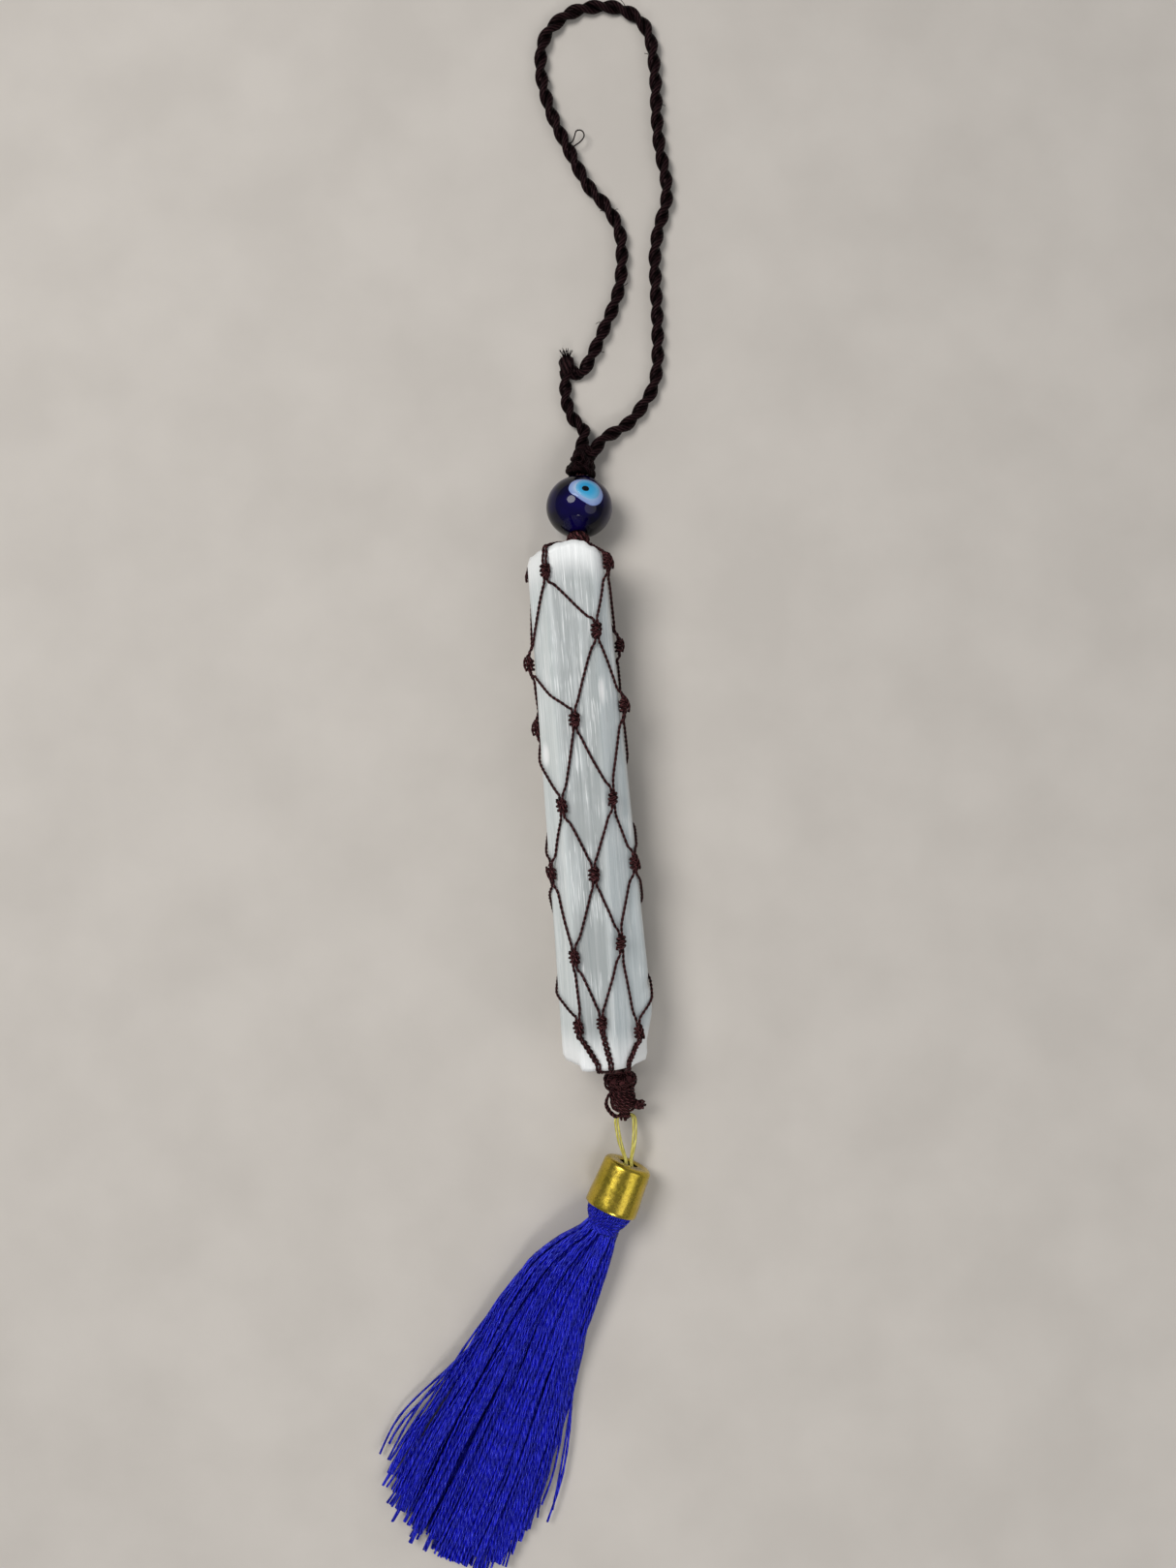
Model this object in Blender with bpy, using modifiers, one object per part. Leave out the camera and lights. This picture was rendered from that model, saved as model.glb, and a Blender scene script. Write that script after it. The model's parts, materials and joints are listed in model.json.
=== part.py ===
# Hanging ornament: a raw selenite stick in a knotted cord net, with a glass eye bead and a
# twisted cord loop above it, and a wrapped knot, a gold cord loop, a metal cap and a silk
# tassel below it. It lies on its back on a table: +Z is up, +Y runs along the stick towards
# the hanging loop, and the table is z = 0. Metres.

import math

import bmesh
import bpy
from mathutils import Matrix, Vector

MM = 0.001

# Selenite stick. Each facet is (normal angle, distance) at the bead end and at the tassel
# end; angles are in degrees from +X towards +Z and distances are parts of half the width.
STICK_LENGTH = 97.1 * MM
STICK_WIDTH = 16.0 * MM
STICK_FACETS = [
    (2, 0.83, 2, 1.13),
    (42, 1.07, 52, 0.87),
    (94, 0.93, 94, 1.00),
    (145, 0.96, 148, 1.02),
    (188, 0.93, 188, 1.00),
    (228, 0.98, 228, 1.04),
    (270, 0.91, 270, 0.96),
    (318, 0.95, 318, 1.05),
]
FACET_SHARPNESS = 20
STICK_SIDES = 40
STICK_STATIONS = 14
END_CHAMFER = 0.8 * MM
TOP_END_SLOPE = 0.10

# Net of twisted waxed cord: eight strands, four knots to a row.
STRAND_DIAMETER = 0.5 * MM
STRAND_STEP = 1.2 * MM
NET_GAP = 0.15 * MM
KNOT_LENGTH = 2.8 * MM
KNOT_WALL = 0.32 * MM
KNOT_FLATNESS = 0.72
KNOT_RUN = 0.35 * MM
FIRST_ROW_FROM_END = 4.65 * MM
LAST_ROW_FROM_END = 8.45 * MM
# Each row of knots: (angle around the stick, distance past the even row) for its four knots.
KNOT_ROWS = [
    [(42, 0.4), (120, -0.5), (214, 0.6), (296, -0.3)],
    [(64, 2.1), (168, -2.7), (262, 0.5), (340, -0.2)],
    [(29, 2.3), (99, 0.2), (198, -0.5), (288, 0.8)],
    [(60, -0.5), (121, -1.2), (241, 0.4), (306, -0.6)],
    [(29, 1.5), (89, 0.1), (149, 0.7), (270, -0.8)],
    [(63, 1.4), (120, -0.6), (236, 0.3), (300, 0.9)],
    [(41, -1.3), (94, 1.3), (121, 0.7), (270, 0.2)],
]
TOP_RIM_ANGLES = [42, 120, 214, 296]
FOOT_RIM_ANGLES = [60, 87, 103, 270]
GATHER_RING_RADIUS = 1.0 * MM
# Where the eight strands end under the stick, as (x, z) from the middle of the gathering.
FOOT_ENDS = [
    (1.75, 0.6), (1.05, 0.9), (0.35, 1.0), (-0.35, 1.0),
    (-1.05, 0.9), (-1.75, 0.6), (-0.35, -1.0), (0.35, -1.0),
]
GATHER_REACH = 1.0 * MM

# Neck, glass bead and top knot. Distances run from the point where the net gathers.
NECK_X = 2.0 * MM
NECK_RISE = 8.4 * MM
NECK_HEADING = 6.5
BEAD_WIDTH = 12.4 * MM
BEAD_LENGTH = 11.6 * MM
BEAD_BORE = 2.8 * MM
BEAD_STEPS = 28
NECK_DIAMETER = 2.0 * MM
NECK_TO_BEAD = 1.1 * MM
TOP_KNOT_DIAMETER = 5.3 * MM
GAP = 0.3 * MM

# Eye of the bead: inlaid layers, each (name, half width, half height, depth, dome over bead).
EYE_LAYERS = [
    ("white", 3.3 * MM, 2.4 * MM, 1.45 * MM, 0.0 * MM),
    ("iris", 2.25 * MM, 1.6 * MM, 0.95 * MM, 0.03 * MM),
    ("pupil", 0.75 * MM, 0.7 * MM, 0.55 * MM, 0.06 * MM),
]
EYE_SEAM = 0.1 * MM
EYE_TILT = 5.0
EYE_TURN = 10.0

# Hanging loop of two-ply twisted cord. Route points are (x, y, height over the table), with x
# and y from the middle of the top knot.
LOOP_DIAMETER = 2.1 * MM
LEG_DIAMETER = 2.2 * MM
LOOP_ROUTE = [
    (2.3, 1.8, 2.9), (3.5, 3.7, 2.6), (5.1, 5.3, 2.0), (7.8, 6.6, 1.4), (10.4, 8.4, 1.05),
    (12.7, 11.0, 1.05), (14.8, 14.0, 1.05), (16.0, 18.0, 1.05), (16.5, 23.0, 1.05), (16.8, 28.0, 1.05),
    (17.0, 34.5, 1.05), (17.3, 39.5, 1.05), (18.4, 44.5, 1.05), (20.2, 49.2, 1.05),
    (20.5, 54.0, 1.05), (19.8, 59.5, 1.05), (19.7, 66.0, 1.05), (20.0, 72.5, 1.05),
    (19.7, 80.2, 1.05), (17.9, 84.3, 1.05), (14.2, 86.8, 1.05), (10.0, 87.5, 1.05),
    (5.8, 87.0, 1.05), (2.2, 85.2, 1.05), (-0.6, 82.0, 1.05), (-1.6, 77.5, 1.05),
    (-1.4, 73.0, 1.05), (0.0, 67.0, 1.05), (2.6, 60.4, 1.05), (5.6, 53.6, 1.05),
    (8.8, 49.3, 1.05), (10.8, 44.9, 1.05), (11.0, 40.0, 1.05), (10.2, 34.5, 1.05),
    (8.6, 30.2, 1.05), (6.3, 25.8, 1.05), (4.0, 21.6, 1.05), (2.3, 18.9, 1.05),
    (1.45, 17.9, 1.05),
]
LEG_ROUTE = [
    (-0.1, 2.9, 2.9), (0.9, 4.9, 2.4), (1.2, 6.6, 1.9), (0.5, 8.1, 1.5), (-0.8, 9.6, 1.25),
    (-1.6, 12.2, 1.15), (-1.8, 14.4, 1.1), (-1.6, 16.4, 1.1),
]
LOOP_JOIN_AT = (-1.15, 19.3)
LOOP_JOIN_SIZE = (2.6 * MM, 4.6 * MM, 2.4 * MM)

# Wrapped knot under the stick.
WRAP_X = 1.9 * MM
WRAP_RISE = 8.2 * MM
WRAP_HEADING = 3.0
WRAP_DROP = 25.0
WRAP_CLEARANCE = 0.8 * MM
WRAP_HEAD_DIAMETER = 5.4 * MM
WRAP_HEAD_LENGTH = 3.8 * MM
WRAP_SHAFT_DIAMETER = 2.6 * MM
WRAP_DIAMETER = 4.2 * MM
WRAP_LENGTH = 3.6 * MM
WRAP_TURNS = 6
WRAP_EYE_DIAMETER = 2.6 * MM
WRAP_EYE_CORD = 0.7 * MM
SIDE_LOOP_CORD = 0.6 * MM

# Gold cord loop, and the stopper knot at its end inside the cap.
GOLD_DIAMETER = 0.8 * MM
GOLD_LOOP_WIDTH = 3.4 * MM
GOLD_LOOP_LENGTH = 9.0 * MM
GOLD_HEADING = 0.0
STOPPER_DROP = 1.1 * MM
STOPPER_HOLD = 0.3 * MM

# Tassel: metal cap, thread head, binding and skirt.
TASSEL_HEADING = -26.5
CAP_MOUTH_DIAMETER = 10.1 * MM
CAP_TAPER = 0.9 * MM
CAP_HEIGHT = 9.2 * MM
CAP_WALL = 0.35 * MM
CAP_SHOULDER = 0.9 * MM
CAP_HOLE_PLAY = 0.925 * MM
HEAD_BELOW_CAP = 3.2 * MM
HEAD_CLEARANCE = 0.35 * MM
BINDING_DIAMETER = 6.8 * MM
BINDING_WIDTH = 1.4 * MM
BINDING_THICKNESS = 0.5 * MM
# Skirt sections: (distance below the binding, middle's shift to the left, half width, half depth).
SKIRT_SECTIONS = [
    (0.0, 0.0, 3.0, 3.0), (4.0, 0.3, 4.3, 3.3), (10.0, 1.2, 6.2, 3.2), (20.0, 1.9, 8.4, 2.9),
    (34.0, 2.4, 11.6, 2.5), (48.0, 2.9, 14.2, 2.1), (58.0, 3.3, 15.2, 1.8), (64.0, 2.6, 13.6, 1.6),
    (68.0, 0.8, 9.6, 1.3), (70.6, -2.0, 5.0, 0.9),
]
SKIRT_SIDES = 24

# Place of the stick's middle, which puts the origin under the middle of the lying ornament.
LAY_X = 18.8 * MM
LAY_Y = 39.6 * MM

for old_object in list(bpy.data.objects):
    bpy.data.objects.remove(old_object, do_unlink=True)

parts = bpy.data.collections.new("selenite_evil_eye_ornament")
cutters = bpy.data.collections.new("cutters")
bpy.context.scene.collection.children.link(parts)
bpy.context.scene.collection.children.link(cutters)


def make_material(name, color, roughness, metallic=0.0):
    material = bpy.data.materials.new(name)
    material.use_nodes = True
    shader = material.node_tree.nodes["Principled BSDF"]
    shader.inputs["Base Color"].default_value = (*color, 1.0)
    shader.inputs["Roughness"].default_value = roughness
    shader.inputs["Metallic"].default_value = metallic
    material.diffuse_color = (*color, 1.0)
    return material


selenite = make_material("selenite", (0.78, 0.82, 0.82), 0.35)
net_cord = make_material("net_cord", (0.050, 0.016, 0.016), 0.55)
cobalt_glass = make_material("cobalt_glass", (0.010, 0.008, 0.110), 0.08)
eye_colors = {
    "white": make_material("eye_white", (0.72, 0.80, 0.88), 0.10),
    "iris": make_material("eye_blue", (0.05, 0.42, 0.70), 0.10),
    "pupil": make_material("eye_black", (0.01, 0.01, 0.02), 0.10),
}
gold_cord = make_material("gold_cord", (0.72, 0.62, 0.12), 0.40)
cap_metal = make_material("cap_metal", (0.60, 0.40, 0.08), 0.30, 1.0)
tassel_silk = make_material("tassel_silk", (0.012, 0.006, 0.620), 0.45)


def add_object(name, data, material, parent, collection=None):
    new_object = bpy.data.objects.new(name, data)
    (collection or parts).objects.link(new_object)
    if material and not data.materials:
        data.materials.append(material)
    new_object.parent = parent
    return new_object


def add_pivot(name, parent, location, rotation=(0.0, 0.0, 0.0)):
    pivot = bpy.data.objects.new(name, None)
    parts.objects.link(pivot)
    pivot.parent = parent
    pivot.location = location
    pivot.rotation_euler = [math.radians(angle) for angle in rotation]
    return pivot


def smooth(mesh, angle=40.0):
    mesh.shade_smooth()
    mesh.set_sharp_from_angle(angle=math.radians(angle))


def profile_mesh(name, points, closed):
    # An edge loop or chain in the XZ plane, for a Screw modifier.
    mesh = bpy.data.meshes.new(name)
    vertices = [(radius, 0.0, height) for radius, height in points]
    edges = [(i, i + 1) for i in range(len(points) - 1)]
    if closed:
        edges.append((len(points) - 1, 0))
    mesh.from_pydata(vertices, edges, [])
    return mesh


def add_screw(target, steps):
    screw = target.modifiers.new("turn", "SCREW")
    screw.steps = steps
    screw.render_steps = steps
    screw.use_merge_vertices = True
    screw.merge_threshold = 0.00001
    screw.use_smooth_shade = True
    return screw


def turned(name, points, steps, material, parent, closed=False):
    # Profile points run top to bottom on the outer side.
    body = add_object(name, profile_mesh(name, points, closed), material, parent)
    add_screw(body, steps)
    return body


def tube(name, points, diameter, material, parent, sides=8, cyclic=False):
    curve = bpy.data.curves.new(name, "CURVE")
    curve.dimensions = "3D"
    curve.bevel_depth = diameter / 2
    curve.bevel_resolution = (sides - 4) // 2
    curve.use_fill_caps = True
    spline = curve.splines.new("POLY")
    spline.points.add(len(points) - 1)
    for spline_point, place in zip(spline.points, points):
        spline_point.co = (*place, 1.0)
    spline.use_cyclic_u = cyclic
    return add_object(name, curve, material, parent)


def smooth_route(route, spacing):
    # Points at even distances along a Catmull-Rom curve through the route.
    ends = [2 * route[0] - route[1]] + route + [2 * route[-1] - route[-2]]
    fine = []
    pieces = 24
    for i in range(len(route) - 1):
        p0, p1, p2, p3 = ends[i:i + 4]
        for step in range(pieces):
            t = step / pieces
            fine.append(0.5 * (2 * p1 + (p2 - p0) * t + (2 * p0 - 5 * p1 + 4 * p2 - p3) * t ** 2
                               + (3 * p1 - p0 - 3 * p2 + p3) * t ** 3))
    fine.append(route[-1])
    lengths = [0.0]
    for before, after in zip(fine, fine[1:]):
        lengths.append(lengths[-1] + (after - before).length)
    count = max(2, round(lengths[-1] / spacing))
    even = []
    index = 0
    for step in range(count + 1):
        goal = lengths[-1] * step / count
        while index < len(fine) - 2 and lengths[index + 1] < goal:
            index += 1
        share = (goal - lengths[index]) / (lengths[index + 1] - lengths[index])
        even.append(fine[index].lerp(fine[index + 1], min(1.0, max(0.0, share))))
    return even


def ball_profile(radius, middle, points=9):
    return [(radius * math.sin(math.pi * i / (points - 1)),
             middle + radius * math.cos(math.pi * i / (points - 1))) for i in range(points)]


def loft(name, rings, material, parent):
    # Joins rings of equal point count into one closed body with flat ends.
    shape = bmesh.new()
    loops = [[shape.verts.new(place) for place in ring] for ring in rings]
    for ring_a, ring_b in zip(loops, loops[1:]):
        for i in range(len(ring_a)):
            j = (i + 1) % len(ring_a)
            shape.faces.new((ring_a[i], ring_a[j], ring_b[j], ring_b[i]))
    shape.faces.new(loops[0])
    shape.faces.new(list(reversed(loops[-1])))
    bmesh.ops.recalc_face_normals(shape, faces=shape.faces)
    mesh = bpy.data.meshes.new(name)
    shape.to_mesh(mesh)
    shape.free()
    smooth(mesh)
    return add_object(name, mesh, material, parent)


# ---------------------------------------------------------------- selenite stick


def stick_radius(angle, y):
    # A polygon of facets with softened ridges, as a distance from the stick's axis.
    share = 0.5 - y / STICK_LENGTH
    total = 0.0
    for top_angle, top_reach, foot_angle, foot_reach in STICK_FACETS:
        normal = math.radians(top_angle + (foot_angle - top_angle) * share)
        reach = (top_reach + (foot_reach - top_reach) * share) * STICK_WIDTH / 2
        total += max(0.0, math.cos(angle - normal) / reach) ** FACET_SHARPNESS
    return total ** (-1 / FACET_SHARPNESS)


def stick_skin(angle, y):
    # Point on the stick's side, and the outward and sideways directions there, in x and z.
    turn = 0.01
    here = Vector((math.cos(angle), math.sin(angle))) * stick_radius(angle, y)
    ahead = Vector((math.cos(angle + turn), math.sin(angle + turn)))
    behind = Vector((math.cos(angle - turn), math.sin(angle - turn)))
    sideways = (ahead * stick_radius(angle + turn, y) - behind * stick_radius(angle - turn, y)).normalized()
    return here, Vector((sideways.y, -sideways.x)), sideways


def end_height(x):
    return STICK_LENGTH / 2 + TOP_END_SLOPE * x


def build_stick(parent):
    rings = []
    chamfer_scale = 1 - 2 * END_CHAMFER / STICK_WIDTH
    for station in range(STICK_STATIONS + 1):
        share = station / STICK_STATIONS
        ring = []
        for side in range(STICK_SIDES):
            angle = 2 * math.pi * side / STICK_SIDES
            middle_y = STICK_LENGTH * (0.5 - share)
            reach = stick_radius(angle, middle_y)
            x = reach * math.cos(angle)
            top_y = end_height(x) - END_CHAMFER
            foot_y = END_CHAMFER - STICK_LENGTH / 2
            ring.append(Vector((x, top_y + (foot_y - top_y) * share, reach * math.sin(angle))))
        rings.append(ring)
    top_cap = [Vector((p.x * chamfer_scale, end_height(p.x * chamfer_scale), p.z * chamfer_scale))
               for p in rings[0]]
    foot_cap = [Vector((p.x * chamfer_scale, -STICK_LENGTH / 2, p.z * chamfer_scale))
                for p in rings[-1]]
    return loft("selenite_stick", [top_cap] + rings + [foot_cap], selenite, parent)


# ---------------------------------------------------------------- cord net

strand_lift = NET_GAP + STRAND_DIAMETER / 2
strand_side = (STRAND_DIAMETER + NET_GAP) / 2
knot_bore = strand_side + STRAND_DIAMETER / 2 + NET_GAP
knot_radius = knot_bore + KNOT_WALL
knot_lift = knot_radius * KNOT_FLATNESS + NET_GAP


def row_height(row):
    pitch = (STICK_LENGTH - FIRST_ROW_FROM_END - LAST_ROW_FROM_END) / (len(KNOT_ROWS) - 1)
    return STICK_LENGTH / 2 - FIRST_ROW_FROM_END - pitch * row


def knot_place(row, column):
    angle, past = KNOT_ROWS[row][column]
    return math.radians(angle), row_height(row) + past * MM


def net_point(angle, y, side, lift):
    here, outward, sideways = stick_skin(angle, y)
    flat = here + outward * lift + sideways * side
    return Vector((flat.x, y, flat.y))


def stick_axis_height():
    # The net's lowest knot touches the table.
    lowest = 0.0
    for row in range(len(KNOT_ROWS)):
        for column in range(4):
            angle, y = knot_place(row, column)
            here, outward, sideways = stick_skin(angle, y)
            middle = here + outward * knot_lift
            reach = math.hypot(knot_radius * sideways.y, knot_radius * KNOT_FLATNESS * outward.y)
            lowest = min(lowest, middle.y - reach)
    return -lowest


def barrel_profile():
    half = KNOT_LENGTH / 2
    waist = knot_bore + KNOT_WALL * 0.35
    return [(waist, half), (knot_radius, half * 0.45), (knot_radius, -half * 0.45), (waist, -half),
            (knot_bore, -half), (knot_bore, half)]


def build_knots(parent):
    mesh = profile_mesh("net_knot", barrel_profile(), closed=True)
    for row in range(len(KNOT_ROWS)):
        for column in range(4):
            angle, y = knot_place(row, column)
            here, outward, sideways = stick_skin(angle, y)
            middle = here + outward * knot_lift
            knot = add_object(f"net_knot_{row + 1}_{column + 1}", mesh, net_cord, parent)
            add_screw(knot, 8)
            # Turned about +Y: local X runs around the stick, local Y away from it.
            frame = Matrix(((sideways.x, outward.x, 0.0), (0.0, 0.0, 1.0), (sideways.y, outward.y, 0.0)))
            if frame.determinant() < 0:
                frame = frame @ Matrix.Diagonal((-1.0, 1.0, 1.0))
            flatten = Matrix.Diagonal((1.0, KNOT_FLATNESS, 1.0))
            knot.matrix_local = Matrix.Translation((middle.x, y, middle.y)) @ (frame @ flatten).to_4x4()


def crown(rim_angle, side, meet, end):
    # From the stick's side over its end rim to where the strands meet; end is 1 or -1.
    rim_y = end * STICK_LENGTH / 2
    turn = math.radians(rim_angle)
    edge = net_point(turn, rim_y - end * END_CHAMFER, side, strand_lift)
    slope_y = end_height(edge.x) - rim_y if end > 0 else 0.0
    edge.y += slope_y
    rim = net_point(turn, rim_y, side, strand_lift * 0.9)
    rim.y = rim_y + slope_y - end * 0.45 * END_CHAMFER
    over = rim.lerp(meet, 0.16)
    over.y = rim_y + slope_y + end * (strand_lift + NET_GAP)
    middle = rim.lerp(meet, 0.6)
    middle.y = over.y * 0.45 + meet.y * 0.55
    return [edge, rim, over, middle, meet]


def strand_points(strand, top_gather, foot_gather):
    # Zigzags between a knot column of its own pair and one shared with a neighbouring pair.
    pair = strand // 2
    odd = strand % 2
    stops = []
    for row in range(len(KNOT_ROWS)):
        if row % 2 == 0:
            column, side = pair, 1 if odd else -1
        else:
            column, side = (pair if odd else (pair - 1) % 4), -1 if odd else 1
        angle, y = knot_place(row, column)
        if stops:
            before = stops[-1][0]
            angle += 2 * math.pi * round((before - angle) / (2 * math.pi))
        stops.append((angle, y, side * strand_side))
    half = KNOT_LENGTH / 2 + KNOT_RUN
    ring_turn = math.radians(22.5 + 45.0 * strand)
    top_meet = top_gather + Vector((math.cos(ring_turn), 0.0, math.sin(ring_turn))) * GATHER_RING_RADIUS
    foot_meet = foot_gather + Vector((FOOT_ENDS[strand][0] * MM, 0.0, FOOT_ENDS[strand][1] * MM))
    first_side = stops[0][2]
    last_side = stops[-1][2]
    points = list(reversed(crown(TOP_RIM_ANGLES[pair], first_side, top_meet, 1)))
    for i, (angle, y, side) in enumerate(stops):
        points.append(net_point(angle, y + half, side, knot_lift))
        points.append(net_point(angle, y - half, side, knot_lift))
        if i + 1 < len(stops):
            next_angle, next_y, next_side = stops[i + 1]
            start_y, end_y = y - half, next_y + half
            across = abs(next_angle - angle) * STICK_WIDTH / 2
            count = max(4, math.ceil(across / STRAND_STEP))
            for step in range(count):
                share = (step + 0.7) / (count + 0.4)
                way = angle + (next_angle - angle) * share
                points.append(net_point(way, start_y + (end_y - start_y) * share,
                                        side + (next_side - side) * share, strand_lift))
    foot = crown(FOOT_RIM_ANGLES[pair], last_side, foot_meet, -1)
    last_angle, last_y, _ = stops[-1]
    rim_turn = math.radians(FOOT_RIM_ANGLES[pair])
    for share in (0.3, 0.65):
        way = last_angle + (rim_turn - last_angle) * share
        y = (last_y - half) + (foot[0].y - last_y + half) * share
        points.append(net_point(way, y, last_side, strand_lift))
    return points + foot


def build_net(parent, top_gather, foot_gather):
    for strand in range(8):
        tube(f"net_strand_{strand + 1}", strand_points(strand, top_gather, foot_gather),
             STRAND_DIAMETER, net_cord, parent, sides=6)
    build_knots(parent)


# ---------------------------------------------------------------- neck, bead and eyes


def build_neck(neck, bead_at, knot_at):
    radius = NECK_DIAMETER / 2
    start = GAP + radius
    stop = knot_at - TOP_KNOT_DIAMETER / 2 - GAP
    nose = [(radius * math.sin(turn), start - radius * math.cos(turn))
            for turn in (math.pi / 2, math.pi / 3, math.pi / 6, 0.0)]
    turned("neck_cords", [(0.0, stop), (radius * 0.7, stop), (radius, stop - radius * 0.3)] + nose,
           12, net_cord, neck)
    turned("top_knot", ball_profile(TOP_KNOT_DIAMETER / 2, knot_at), 16, net_cord, neck)


def build_bead(pivot):
    # The pivot is the bead's middle, with local Z along its bore.
    radius, half, bore = BEAD_WIDTH / 2, BEAD_LENGTH / 2, BEAD_BORE / 2
    lip = math.asin(bore / radius)
    arc = 12
    outer = []
    for i in range(arc + 1):
        turn = lip + (math.pi - 2 * lip) * i / arc
        outer.append((radius * math.sin(turn), half * math.cos(turn)))
    bead = turned("bead_glass", outer, BEAD_STEPS, cobalt_glass, pivot, closed=True)
    for side, turn_to in (("front", 0.0), ("back", 180.0)):
        build_eye(pivot, bead, side, turn_to)
    return bead


def build_eye(pivot, bead, side, turn_to):
    # Local Z looks out of the eye; front looks up at rest.
    look = Matrix.Rotation(math.radians(turn_to + EYE_TURN), 4, "Z")
    look = look @ Matrix.Rotation(math.radians(90.0 - (EYE_TILT if side == "front" else 0.0)), 4, "X")
    holder = bead
    for layer, half_width, half_height, depth, proud in EYE_LAYERS:
        name = f"eye_{side}_{layer}"
        floor = BEAD_WIDTH / 2 - depth
        pocket = eye_plug(f"{name}_pocket", half_width + EYE_SEAM, half_height + EYE_SEAM,
                          floor - EYE_SEAM, None, pivot, cutters)
        pocket.matrix_local = look
        cut(holder, pocket, "DIFFERENCE")
        plug = eye_plug(name, half_width, half_height, floor, eye_colors[layer], pivot, parts)
        plug.matrix_local = look
        dome = ball_cutter(f"{name}_dome", BEAD_WIDTH / 2 + proud, pivot)
        cut(plug, dome, "INTERSECT")
        holder = plug


def eye_plug(name, half_width, half_height, floor, material, parent, collection):
    shape = bmesh.new()
    top = BEAD_WIDTH * 0.75
    bmesh.ops.create_cone(shape, cap_ends=True, segments=20, radius1=1.0, radius2=1.0,
                          depth=top - floor, matrix=Matrix.Translation((0.0, 0.0, (top + floor) / 2)))
    bmesh.ops.scale(shape, vec=(half_width, half_height, 1.0), verts=shape.verts)
    mesh = bpy.data.meshes.new(name)
    shape.to_mesh(mesh)
    shape.free()
    return add_object(name, mesh, material, parent, collection)


def ball_cutter(name, radius, parent):
    shape = bmesh.new()
    bmesh.ops.create_uvsphere(shape, u_segments=24, v_segments=16, radius=radius)
    bmesh.ops.scale(shape, vec=(1.0, 1.0, BEAD_LENGTH / BEAD_WIDTH), verts=shape.verts)
    mesh = bpy.data.meshes.new(name)
    shape.to_mesh(mesh)
    shape.free()
    return add_object(name, mesh, None, parent, cutters)


def cut(target, cutter, operation):
    cutter.hide_render = True
    cutter.display_type = "WIRE"
    change = target.modifiers.new(cutter.name, "BOOLEAN")
    change.operation = operation
    change.object = cutter
    change.solver = "EXACT"


# ---------------------------------------------------------------- hanging loop


def build_loop(pivot, knot_height):
    def place(route):
        return [Vector((x * MM, y * MM, height * MM - knot_height)) for x, y, height in route]

    tube("loop_cord", smooth_route(place(LOOP_ROUTE), LOOP_DIAMETER * 2.4), LOOP_DIAMETER,
         net_cord, pivot)
    tube("loop_leg", smooth_route(place(LEG_ROUTE), LEG_DIAMETER * 1.1), LEG_DIAMETER,
         net_cord, pivot)
    width, length, depth = LOOP_JOIN_SIZE
    join = turned("loop_join", ball_profile(0.5, 0.0), 12, net_cord, pivot)
    join.data.transform(Matrix.Diagonal((width, 1.0, length, 1.0)))
    join.rotation_euler = (math.radians(-90.0), 0.0, 0.0)
    join.location = (LOOP_JOIN_AT[0] * MM, LOOP_JOIN_AT[1] * MM, depth / 2 - knot_height + GAP / 3)


# ---------------------------------------------------------------- wrapped knot


def build_wrap(pivot):
    # Local Z runs down the wrap from the point where the net gathers.
    head = WRAP_HEAD_DIAMETER / 2
    half = WRAP_HEAD_LENGTH / 2
    shaft = WRAP_SHAFT_DIAMETER / 2
    head_middle = WRAP_CLEARANCE + half
    wrap_start = head_middle + half
    wrap_stop = wrap_start + WRAP_LENGTH
    shaft_stop = wrap_stop + NET_GAP
    meet = math.asin(shaft / head)
    dome = [(head * math.sin(turn), head_middle + half * math.cos(turn))
            for turn in [meet + (math.pi - meet) * i / 7 for i in range(7)]]
    turned("wrap_core", [(0.0, shaft_stop), (shaft, shaft_stop)] + dome + [(0.0, WRAP_CLEARANCE)],
           14, net_cord, pivot)
    build_coil(pivot, shaft + NET_GAP, wrap_start, wrap_stop)
    eye_at = shaft_stop + NET_GAP + WRAP_EYE_DIAMETER / 2
    build_wrap_eye(pivot, eye_at)
    return eye_at


def build_coil(pivot, bore, start, stop):
    ridge = WRAP_DIAMETER / 2
    turn_width = (stop - start) / WRAP_TURNS
    groove = ridge - turn_width * 0.35
    outer = [(groove, stop)]
    for turn in range(WRAP_TURNS):
        top = stop - turn * turn_width
        outer.append((ridge, top - turn_width / 2))
        outer.append((groove, top - turn_width))
    turned("wrap_coil", outer + [(bore, start), (bore, stop)], 14, net_cord, pivot, closed=True)


def build_wrap_eye(pivot, eye_at):
    ring_radius = (WRAP_EYE_DIAMETER - WRAP_EYE_CORD) / 2
    ring = []
    count = 14
    for i in range(count):
        turn = 2 * math.pi * i / count
        ring.append(Vector((0.0, ring_radius * math.cos(turn), eye_at + ring_radius * math.sin(turn))))
    tube("wrap_eye", ring, WRAP_EYE_CORD, net_cord, pivot, sides=6, cyclic=True)
    side = WRAP_DIAMETER / 2 + SIDE_LOOP_CORD / 2 + GAP
    route = [
        Vector((-side, 0.0, eye_at - 6.0 * MM)), Vector((-side - 0.9 * MM, 0.2 * MM, eye_at - 5.2 * MM)),
        Vector((-side - 1.2 * MM, 0.3 * MM, eye_at - 3.6 * MM)),
        Vector((-side - 0.7 * MM, 0.2 * MM, eye_at - 2.2 * MM)), Vector((-side, 0.0, eye_at - 1.6 * MM)),
    ]
    tube("wrap_side_loop", smooth_route(route, SIDE_LOOP_CORD * 1.2), SIDE_LOOP_CORD, net_cord,
         pivot, sides=6)


# ---------------------------------------------------------------- gold loop

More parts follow.
